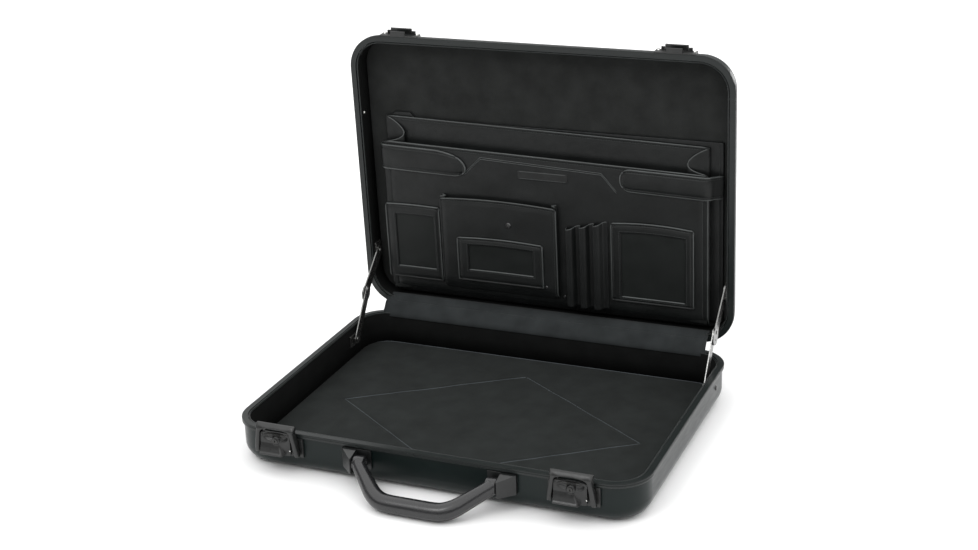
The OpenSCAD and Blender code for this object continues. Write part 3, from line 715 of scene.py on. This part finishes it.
def build_file_pocket():
    """Front leather of the wide pocket, with the double line embossed in it."""
    depth = foot_curve(FRONT_DEEP + 1.9, BACK_DEEP - 1, 16, 14)
    trapezoid = ((-95, 175), (-73, 197), (73.5, 194), (91.5, 174))
    seams = {"t": 3.4, "l": 8, "r": 6}
    box = (-FILE_W, FILE_W, 15, 203.5)
    front = Panel(lid_surface(depth), box, 1.8, crown=fall(4.5), seams=seams, wave=0.7)
    made = lay_sheet(front, FRONT_PANEL, "file_pocket_front")
    sew(front, made, edges("tr", 0.3), 0.9)
    lines = Parts()
    for offset in (0.0, 2.1):
        path = [front.point(s, t - 1 - offset, 0.12) for s, t in dense_route(trapezoid, 3)]
        lines.tube(path, 0.4, 6)
    # The embossed lines are lighter leather: a painted highlight where the emboss catches light
    lines.child("file_pocket_embossed_lines", "edge_leather", made)


GUSSET_SPAN = 100
SQUARE_CORNERS = ((0.1, 0.1),) * 4


def gusset_surface(side, outer, nose, low_deep, high_deep):
    """Bellows surface: s runs from the rear leather (0) round the inward nose to the front one."""

    def centre(s):
        reach = math.sin(math.pi * s) ** 0.75
        return side * (outer - (outer - nose) * reach), high_deep + (low_deep - high_deep) * s

    def surface(s, t, h):
        s = min(1.0, max(0.0, s / GUSSET_SPAN))
        (xa, da), (xb, db) = centre(max(0, s - 0.01)), centre(min(1, s + 0.01))
        length = math.hypot(xb - xa, db - da) or 1
        x, deep = centre(s)
        return lid_point(x - (db - da) / length * h, t, deep + (xb - xa) / length * h)

    return surface


def gusset_crown(rear, front, dip=4):
    """Top edge of a bellows, from its height at the rear leather to that at the front, lower in between."""

    def crown(s):
        share = s / GUSSET_SPAN
        return rear + (front - rear) * share - dip * math.sin(math.pi * share)

    return crown


def build_gussets():
    for side, name, rear_rise, front_rise in ((-1, "left", 35, 7), (1, "right", 27, -1)):
        surface = gusset_surface(side, FILE_W - 1.5, FILE_W - 25, FRONT_DEEP + 2.2, BACK_DEEP - 0.2)
        crown = gusset_crown(rear_rise, front_rise)
        box = (0, GUSSET_SPAN, 20, 200)
        gusset = Panel(surface, box, 1.1, SQUARE_CORNERS, crown=crown, wave=0.2, cell=4.0)
        node = f"file_gusset_{name}"
        made = lay_sheet(
            gusset, f"{node}_fold", node
        )
        sew(gusset, made, edges("t", 0.2), 0.7)


class Wrap:
    """Path in two coordinates that a strap, a pleat or the hinge cover follows, read by its length."""

    def __init__(self, knots):
        self.path = curve_through(knots, 10)

    def at(self, length):
        """The point at a length along the path, and the path's direction there."""
        walked = 0.0
        for a, b in zip(self.path, self.path[1:]):
            step = (b - a).length
            if walked + step >= length or b is self.path[-1]:
                tangent = (b - a).normalized()
                return a + tangent * (length - walked), tangent
            walked += step

    def length(self):
        return sum((b - a).length for a, b in zip(self.path, self.path[1:]))


# Each strap: side, where it starts from the middle, its corners, and its lower and upper edge
STRAPS = {
    "left": (-1, 92, ((16, 9), (0.5, 0.5), (42, 19), (0.5, 0.5)), 172.5, 201.5),
    "right": (1, 96, ((13, 12.5), (0.5, 0.5)) * 2, 173.5, 199.5),
}
STRAP_FLAT = [(0, 4.9), (40, 4.9), (80, 4.9), (97, 5.0)]
STRAP_WRAPS = {
    "left": Wrap(STRAP_FLAT + [(103, 5.2), (106, 6.8), (106.8, 10), (106.8, 15.5)]),
    "right": Wrap(STRAP_FLAT + [(101.5, 6.2), (104.5, 9.5), (109, 13), (116, 17)]),
}
STRAP_FALL, STRAP_RUN, STRAP_SWELL = 2.5, 110, 1.5


def build_strap(name):
    """Puffy strap on the file pocket's front, sewn to the board at its outer end."""
    side, start, corners, low, high = STRAPS[name]
    wrap = STRAP_WRAPS[name]
    long = wrap.length() - 0.5

    def surface(s, t, h):
        place, tangent = wrap.at(s)
        x = side * (start + place.x + tangent.y * h)
        return lid_point(x, t - STRAP_FALL * side * place.x / STRAP_RUN, place.y - tangent.x * h)

    def swell(s, t):
        across = min(1, max(0, (t - low) / (high - low)))
        padding = STRAP_SWELL * math.sin(math.pi * across) ** 0.6
        return padding * smooth_step(s / 14) * smooth_step((long - s) / 30)

    seams = {"l": 3, "b": 3, "t": 3}
    box = (0, long, low, high)
    strap = Panel(surface, box, 2.2, corners, seams=seams, relief=swell, cell=3.0, groove=0.6)
    made = lay_sheet(strap, f"strap_{name}_pad", f"strap_{name}")
    sew(strap, made, edges("lbt", 0.25), 1.0)


def build_name_patch():
    patch = Panel(lid_surface(FRONT_DEEP - 0.1), (-27, 33, 176, 186.1), 0.8, wave=0.0, corners=((1, 1),) * 4)
    made = lay_sheet(patch, "name_patch_blank", "name_patch", "patch_leather")
    sew(patch, made, edges("bt", 0.9), 0.45)


# Pockets with a window: the film's node, the pocket's box, the window's, the depth of what is under it, its
# thickness and its top's rise
WINDOW_POCKETS = {
    "id_pocket": ("id_window", (-199, -129, 35.5, 130), (-186, -137, 51, 117), FRONT_DEEP, 2.0, 1.0),
    "card_pocket": ("card_window", (-104, 3, 44.5, 99), (-90, -9, 59.5, 90), CENTRE_DEEP, 2.4, 2.2),
    "side_pocket": ("side_window", (84, 181, 37, 133), (96, 171, 44, 121), FRONT_DEEP, 2.2, 3.0),
}


def build_window_pockets():
    for node, (film_node, box, hole, deep, thick, rise) in WINDOW_POCKETS.items():
        s0, s1 = box[:2]
        crown = arch((s0 + s1) / 2, (s1 - s0) / 2, rise)
        seams = dict.fromkeys(SIDES, 2.6)
        shape = {"crown": crown, "hole": hole, "seams": seams, "groove": 0.8, "wave": 0.5, "cell": 4.0}
        pocket = Panel(lid_surface(deep), box, thick, **shape)
        made = lay_sheet(pocket, f"{node}_frame", node)
        rows = edges(SIDES, 2.6) + edges(SIDES, 2.2, True)
        sew(pocket, made, edges("tlr", 0.3) + edges("b", 0.4, True), 0.95, rows)
        film_box = (hole[0] - 3, hole[1] + 3, hole[2] - 3, hole[3] + 3)
        film = Panel(lid_surface(deep - 0.25), film_box, 0.35, wave=0.7, cell=4.0)
        lay_sheet(film, f"{film_node}_film", film_node, "clear_film")


def build_centre_pocket():
    """Bellows pocket: a front that curves in at its foot, and two folded sides."""
    depth = foot_curve(CENTRE_DEEP + 1.5, FRONT_DEEP - 0.4, 31, 12)
    seams = {"t": 3, "l": 3, "r": 3}
    shape = {"corners": ((3, 3),) * 4, "crown": arch(-56, 76, 3.4), "seams": seams, "wave": 0.9}
    front = Panel(lid_surface(depth), (-125, 20, 31, 145), 1.5, **shape)
    made = lay_sheet(front, "centre_pocket_front", "centre_pocket")
    sew(front, made, edges("tr", 0.3))
    for side, outer in ((-1, 124), (1, 19)):
        surface = gusset_surface(side, outer, outer - 5, CENTRE_DEEP + 1.6, FRONT_DEEP - 0.3)
        fold = Panel(surface, (0, GUSSET_SPAN, 36, 148), 0.9, SQUARE_CORNERS, wave=0.2, cell=5.0)
        name = "centre_pocket_fold_" + ("left" if side < 0 else "right")
        made = lay_sheet(fold, name, None)
        sew(fold, made, edges("t", 0.2), 0.7)


PEN_X, PEN_PITCH, PENS = 31.0, 16.5, 3


def build_pen_pockets():
    """One strip pleated into a row of pen loops."""
    knots = []
    for pen in range(PENS):
        x = PEN_X + pen * PEN_PITCH
        knots += [(x, 4.6), (x + 0.3, 0.8), (x + 1.1, -2.3), (x + 3.8, -3.0)]
        knots += [(x + 6.4, -2.3), (x + 8.2, 0.8), (x + 10.4, 4.1), (x + 14.5, 4.5)]
    knots.append((PEN_X + PENS * PEN_PITCH, 4.6))
    pleats = Wrap(knots)
    long = pleats.length() - 0.2

    def surface(s, t, h):
        place, tangent = pleats.at(s)
        return lid_point(place.x + tangent.y * h, t, place.y - tangent.x * h)

    def top(s):
        pen = min(PENS - 1, max(0, int((pleats.at(s)[0].x - PEN_X) / PEN_PITCH)))
        inside = (pleats.at(s)[0].x - PEN_X) / PEN_PITCH - pen
        return 4.0 * (pen + smooth_step((inside - 0.05) / 0.9))

    strip = Panel(surface, (0, long, 26, 122), 1.0, corners=((0.5, 0.5),) * 4, crown=top, cell=1.2, wave=0.1)
    made = lay_sheet(strip, "pen_pocket_strip", "pen_pockets")
    sew(strip, made, edges("t", 0.2), 0.55)


# ---- Linings ----

RHOMBUS = ((-175, -6), (0, 112), (175, -6), (0, -130))
BOARD_CORNERS = ((CORNER_R - FLOOR_IN, CORNER_R - FLOOR_IN),) * 4


def segment_gap(s, t, a, b):
    """Distance from (s, t) to the segment from a to b."""
    span = Vector(b) - Vector(a)
    offset = Vector((s, t)) - Vector(a)
    share = min(1.0, max(0.0, offset.dot(span) / span.length_squared))
    return (offset - span * share).length


def build_floor_lining():
    """Padded floor of the base, with a creased rhombus and cord along it and along the rear edge."""
    half_w, half_d = CASE_W / 2 - FLOOR_IN, CASE_D / 2 - FLOOR_IN
    sides = list(zip(RHOMBUS, RHOMBUS[1:] + RHOMBUS[:1]))

    def crease(s, t):
        nearest = min(segment_gap(s, t, a, b) for a, b in sides)
        return -0.7 * bell(nearest, 1.3) + 0.35 * bell(nearest - 3.2, 1.6)

    def surface(s, t, h):
        return row_point(s, t, FLOOR_TOP - FLOOR_THICK + h)

    box = (-half_w, half_w, -half_d, half_d)
    floor = Panel(surface, box, FLOOR_THICK, BOARD_CORNERS, relief=crease, cell=2.6, wave=0.5)
    made = lay_sheet(
        floor, "base_floor_board", "base_floor_lining", "floor_lining", body="base"
    )
    # The cords are much lighter than the floor: a painted highlight along the creased rhombus and the rear
    # edge
    cords = Parts()
    for a, b in sides:
        cords.tube([floor.point(s, t, 0.25) for s, t in dense_route((a, b), 3)], 0.45, 6)
    cords.tube(floor.side("t", 1.2, 0.1), 0.5, 6)
    cords.child("base_floor_board_piping", "crease", made)


def build_lid_panel():
    """Padded board that lines the top of the lid, behind the organiser."""
    half_w = CASE_W / 2 - FLOOR_IN
    box = (-half_w, half_w, FLOOR_IN, CASE_D - FLOOR_IN)
    panel = Panel(lid_surface(PANEL_DEEP + 2.5), box, 2.5, BOARD_CORNERS, cell=8.0, wave=0.8)
    lay_sheet(panel, "lid_panel_board", "lid_panel_lining", "panel_lining")


def rim_path(inset, height):
    """Closed path round the case, inset from its rim, at a height over the base's bottom."""
    half_w, half_d, radius = CASE_W / 2 - CORNER_R, CASE_D / 2 - CORNER_R, CORNER_R - inset
    steps, path = 14, []
    for turn, (sx, sy) in enumerate(((1, 1), (-1, 1), (-1, -1), (1, -1))):
        for step in range(steps + 1):
            angle = math.radians(90 * (turn + step / steps))
            x, y = sx * half_w + radius * math.cos(angle), sy * half_d + radius * math.sin(angle)
            path.append((x, y, height))
    return dense_route(path + path[:1], 12)[:-1]


def build_wall_lining(name, node, low, high, place, body):
    """Padded wall strip with a rolled top edge. place maps (x, y, height) to the row frame."""
    up = 1 if high > low else -1
    section = [(LINING_IN, low), (LINING_IN, high - 0.6 * up), (LINING_IN + 0.5, high)]
    section += [(LINING_FACE - 0.6, high), (LINING_FACE, high - 0.8 * up)]
    section += [(LINING_FACE + 0.1, (low + high) / 2), (LINING_FACE, low)]
    loops = [[place(*spot) for spot in rim_path(inset, height)] for inset, height in section]
    count, sides = len(loops[0]), len(section)
    points = [loops[side][ring] for ring in range(count) for side in range(sides)]
    wall = Parts()
    wall.add(points, rings_to_faces(count, sides, True))
    made = wall.piece(name, "wall_lining", body)
    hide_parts(node)
    bead = Parts()
    path = [place(*spot) for spot in rim_path(LINING_FACE - 1.0, high + 0.1 * up)]
    bead.tube(path, 0.9, 10, closed=True)
    bead.child(f"{name}_bead", "rim_metal", made)


def lid_place(x, y, height):
    """A point given over the closed case's plan, height measured down from the lid's rim plane."""
    return lid_point(x, REAR_Y - y, height)


COVER_LEFT, COVER_RIGHT, COVER_SEAM = -204.0, 199.0, 14.5


def build_hinge_cover():
    """Fabric over the hinge line, from the base's rear wall up to the lid's lining."""
    wall = REAR_Y - LINING_FACE - 0.6
    top = lid_point(0, LINING_FACE + 0.9, 2) / MM
    knots = [(wall + 0.8, 40.5), (wall + 0.9, 44.5), (wall + 5, 50.8), (wall + 10, 56.6)]
    knots += [(top.y - 0.5, top.z - 1.5), (top.y + 3, top.z + 0.6), (top.y + 8, top.z + 0.9)]
    strip = Wrap(knots)
    long = strip.length() - 0.3

    def surface(s, t, h):
        place, tangent = strip.at(t)
        sag = 0.9 * math.sin(math.pi * t / long) * noise.noise(Vector((s * 0.02, 2.0, t * 0.01)))
        return row_point(s, place.x - tangent.y * (h + sag), place.y + tangent.x * (h + sag))

    seams = {"l": 3.5, "r": 3.5, "t": COVER_SEAM}
    cover = Panel(surface, (COVER_LEFT, COVER_RIGHT, 0, long), 0.9, seams=seams, wave=0.8, cell=3.0)
    made = cover.build("hinge_cover_strip", "cover_fabric", None)
    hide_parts("hinge_cover_base", "hinge_cover_lid")
    sew(cover, made, rows=edges("t", COVER_SEAM))
    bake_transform(made)


# ---- Handle ----

# Middle line of the grip's right half as (x, reach), from the arm to the middle
HANDLE_PATH = ((73.4, 1), (70.6, 5), (62.5, 13.8), (53.5, 23.6), (45.2, 32), (36, 38), (25, 40.3), (0, 40.5))
# Height of the seam between the mouldings, how far the lower one stands back, and the ease of the edges
HANDLE_SEAM, HANDLE_GAP, HANDLE_EASE = -2.0, 0.22, 0.35
# How much less wide and tall the arms are than the grip
ARM_SLIM, ARM_FLAT = 1.9, 0.5
# Section of the eye round a handle pin, as (x, radius)
HANDLE_EYE = ((-6, 2.3), (-6, 7.0), (-5.6, 7.9), (-4.8, 8.4), (4.8, 8.4), (5.6, 7.9), (6, 7.0), (6, 2.3))


def handle_outline(share, upper):
    """Section of one moulding in (across, lift), cut at the seam."""
    arm = smooth_step(abs(share - 0.5) * 2 / 0.62 - 0.35)
    wide, tall = GRIP_R - ARM_SLIM * arm, GRIP_R - ARM_FLAT * arm
    cut = math.asin(HANDLE_SEAM / tall)
    gap = 0.0 if upper else HANDLE_GAP
    start, turn = (cut, math.pi - 2 * cut) if upper else (math.pi - cut, math.pi + 2 * cut)
    steps, ring = 22, []
    for step in range(steps + 1):
        angle = start + turn * step / steps
        shrink = {0: HANDLE_EASE, 1: HANDLE_EASE * 0.25}.get(min(step, steps - step), 0.0)
        ring.append(((wide - gap - shrink) * math.cos(angle), (tall - gap) * math.sin(angle) - gap))
    return ring


def handle_section(upper):
    """Section for sweep(), level with the handle's plane."""
    lift_axis = (handle_point(0, 0, 1) - handle_point(0, 0, 0)).normalized()

    def section(share, tangent):
        side = tangent.cross(lift_axis).normalized()
        return [(side * across + lift_axis * lift) * MM for across, lift in handle_outline(share, upper)]

    return section


def add_eye(parts, side):
    """Ring at the end of an arm, round the handle's pin."""
    rings, points = 40, []
    for ring in range(rings):
        angle = 2 * math.pi * ring / rings
        for along_x, radius in HANDLE_EYE:
            x = side * HANDLE_ARM_X + along_x
            points.append(handle_point(x, radius * math.cos(angle), radius * math.sin(angle)))
    parts.add(points, rings_to_faces(rings, len(HANDLE_EYE), True))


def build_handle():
    """Moulded handle: an upper moulding with both eyes, and a lower one under the seam."""
    half = [Vector(knot) for knot in HANDLE_PATH]
    knots = half + [Vector((-p.x, p.y)) for p in reversed(half[:-1])]
    path = [handle_point(p.x, p.y, 0) for p in curve_through(knots, 9)]
    upper, lower = Parts(), Parts()
    upper.add(*sweep(path, handle_section(True)))
    lower.add(*sweep(path[3:-3], handle_section(False)))
    for side in (-1, 1):
        add_eye(upper, side)
    for parts, name, node, slot in (
        (upper, "handle_upper_moulding", "handle_grip", "handle_gloss"),
        (lower, "handle_lower_moulding", "handle_underside", "handle_matte"),
    ):
        made = parts.piece(name, slot, "handle")
        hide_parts(node)


# ---- Latches ----

# Hasp from its right foot to its middle: x and height over the rim of its outer edge, then of its inner one
HASP_EDGES = (
    (25.2, -24.0, 20.9, -24.0),
    (25.5, -22.4, 20.6, -22.4),
    (24.4, -14.0, 19.4, -14.0),
    (22.9, -5.0, 18.2, -5.0),
    (21.8, 1.0, 17.3, 0.4),
    (21.2, 3.6, 16.3, 2.5),
    (22.0, 5.4, 14.6, 3.7),
    (22.2, 8.8, 12.4, 4.5),
    (21.2, 10.0, 10.0, 5.0),
    (14.0, 10.0, 7.0, 5.3),
    (7.0, 10.0, 3.5, 5.5),
)
HASP_MIDDLE = (0.0, 10.0, 0.0, 5.6)
# Distance of the hasp's face from the front of the rim, at heights over the rim
HASP_FACE = ((-24.0, 6.8), (-22.0, 7.6), (-14.0, 8.7), (-4.0, 9.1), (5.4, 9.2), (10.0, 5.2))
# Distance of its back from the rim, clear of the catch rivets at the top
HASP_REAR = ((-24.0, 2.6), (-20.0, 2.0), (7.6, 2.0), (8.2, 2.9), (10.0, 3.2))
# Across a cheek: share of the way from outer to inner edge, and drop below the face (None is the back)
HASP_PROFILE = (
    (0.0, None), (0.0, 1.4), (0.07, 0.4), (0.22, 0.0),
    (0.8, 0.0), (0.95, 0.3), (1.0, 1.1), (1.0, None),
)
# Distance of the lever's back from the front of the rim, and of its face from its back
LEVER_BACK, LEVER_FACE = 3.4, 3.0
# Dish under the hasp's arch: half its width and height, where its middle is, and its depth
DISH_W, DISH_H, DISH_UP, DISH_DEEP = 15.5, 5.6, -4.2, 2.7
# Boss round the key: its radius, where its middle is, and its height
BOSS_R, BOSS_UP, BOSS_HIGH = 5.2, -7.8, 1.3
# Thumb plate: its top and left edge, the step up to it, and how far it slopes out over what length
THUMB_TOP, THUMB_LEFT, THUMB_STEP, THUMB_OUT, THUMB_RUN = -11.6, -18.6, 0.2, 6.125, 16.5
# Lip near its foot: place, height and width
LIP_UP, LIP_HIGH, LIP_WIDE = -22.3, 0.9, 0.8


def value_at(table, height):
    """Value of a table of (height, value) pairs at a height."""
    for (low, start), (high, end) in zip(table, table[1:]):
        if height <= high:
            return start + (end - start) * max(0.0, height - low) / (high - low)
    return table[-1][1]


def front_point(middle, x, up, out):
    """A point on the front of the case: up from the rim's height and out from the rim's face."""
    return row_point(middle + x, FRONT_Y - out, BASE_H + up)


def build_hasp(side, middle):
    """Hasp frame: a top bar with a sloping upper face over an arch, and two cheeks that spread downwards."""
    left = [(-a, a_up, -b, b_up) for a, a_up, b, b_up in reversed(HASP_EDGES)]
    rings = curve_through([*HASP_EDGES, HASP_MIDDLE, *left], 3)
    points = []
    for outer_x, outer_up, inner_x, inner_up in rings:
        for share, drop in HASP_PROFILE:
            x = outer_x + (inner_x - outer_x) * share
            up = outer_up + (inner_up - outer_up) * share
            out = value_at(HASP_REAR, up) if drop is None else value_at(HASP_FACE, up) - drop
            points.append(front_point(middle, x, up, out))
    hasp = Parts()
    hasp.add(points, rings_to_faces(len(rings), len(HASP_PROFILE), False))
    made = hasp.piece(f"latch_hasp_{side}", "latch_metal", f"bail_{side}")
    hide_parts(f"latch_bail_{side}")


def lever_relief(s, t):
    """Face of the lever: a dish round the key, under the hasp's arch, and a thumb plate that slopes out."""
    dish = smooth_step((1 - (s / DISH_W) ** 2 - ((t - DISH_UP) / DISH_H) ** 2) / 0.6)
    boss = smooth_step((BOSS_R - math.hypot(s, t - BOSS_UP)) / 1.2)
    thumb_right = 3.5 - 0.55 * (t + 12)
    thumb = smooth_step((THUMB_TOP - t) / 1.2) * smooth_step(thumb_right - s)
    thumb *= smooth_step((s - THUMB_LEFT) / 0.8)
    slope = THUMB_OUT * smooth_step((THUMB_TOP + 1.1 - t) / THUMB_RUN)
    lip = LIP_HIGH * bell(t - LIP_UP, LIP_WIDE)
    return LEVER_FACE - DISH_DEEP * dish * (1 - boss) + BOSS_HIGH * boss + thumb * (THUMB_STEP + slope + lip)


def build_lever(side, middle):
    """Thumb lever, with the small bright stop at its right."""

    def surface(s, t, h):
        return front_point(middle, s, t, LEVER_BACK + h)

    corners = ((0.8, 0.8), (2.5, 2.5), (3, 3), (3, 3))
    box = (-18.9, 16.6, -23.6, 0.3)
    plate = Panel(surface, box, 0.5, corners, cell=0.7, wave=0.0, relief=lever_relief)
    # The lever's darker metal is painted shade of the recess under the hasp
    made = plate.build(f"latch_lever_plate_{side}", "lever_metal", f"lever_{side}")
    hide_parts(f"latch_lever_{side}")
    stop = Parts()
    places = [front_point(middle, 16.2, -17.4, out) for out in (4.0, 7.4, 7.9)]
    stop.tube(places, 1.0, 12)
    stop.child(f"latch_stop_{side}", "bright_steel", made)


def build_latches():
    for side, sign in (("left", -1), ("right", 1)):
        middle = sign * LATCH_X + LATCH_SHIFT
        build_hasp(side, middle)
        build_lever(side, middle)


# ---- Hard pieces carried over from CAD ----

# Edge radius of each kind of node
BEVELLED = {
    "latch_plate": 0.35,
    "catch": 0.45,
    "handle_mount": 0.9,
    "stay_bracket_base": 0.3,
    "stay_bracket_lid": 0.3,
    "stay_lower": 0.3,
    "stay_upper": 0.25,
    "base_frame": 0.5,
    "lid_frame": 0.5,
    "hinge_leaf_base": 0.2,
    "hinge_leaf_lid": 0.2,
}
WELD_GAP, FLAT_ANGLE, SHARP_ANGLE = 0.002, 1, 32


def soften_edges():
    """Rounds the sharp edges of carried-over nodes with modifiers. Their meshes stay as packed."""
    for name, obj in nodes.items():
        base = name.removesuffix("_left").removesuffix("_right")
        if base not in BEVELLED:
            continue
        weld = obj.modifiers.new("weld", "WELD")
        weld.merge_threshold = WELD_GAP * MM
        plain = obj.modifiers.new("plain", "DECIMATE")
        plain.decimate_type = "DISSOLVE"
        plain.angle_limit = math.radians(FLAT_ANGLE)
        bevel = obj.modifiers.new("bevel", "BEVEL")
        bevel.width = BEVELLED[base] * MM
        bevel.segments = 3
        bevel.limit_method = "ANGLE"
        bevel.angle_limit = math.radians(SHARP_ANGLE)
        bevel.harden_normals = True


def dress_small_parts():
    """Darker finishes for small fasteners, and dark steel on the key, spring and pin inside each latch as
    painted shade of its recess.
    """
    nodes["pocket_rivets"].data.materials[0] = MATERIALS["snap_dark"]
    nodes["base_rivets"].data.materials[0] = MATERIALS["key_steel"]
    # Key cylinders, springs and pins: dark steel as painted shade inside the latches
    for kind in ("key_cylinder", "latch_spring", "latch_pin"):
        for side in ("left", "right"):
            nodes[f"{kind}_{side}"].data.materials[0] = MATERIALS["key_steel"]


soften_edges()
build_back_board()
build_file_pocket()
build_gussets()
build_strap("left")
build_strap("right")
build_name_patch()
build_centre_pocket()
build_window_pockets()
build_pen_pockets()
build_floor_lining()
build_lid_panel()
build_wall_lining("base_wall_strip", "base_wall_lining", 5.2, 44.6, row_point, "base")
build_wall_lining("lid_wall_strip", "lid_wall_lining", 24.6, 1.6, lid_place, "lid")
build_hinge_cover()
build_handle()
build_latches()
dress_small_parts()
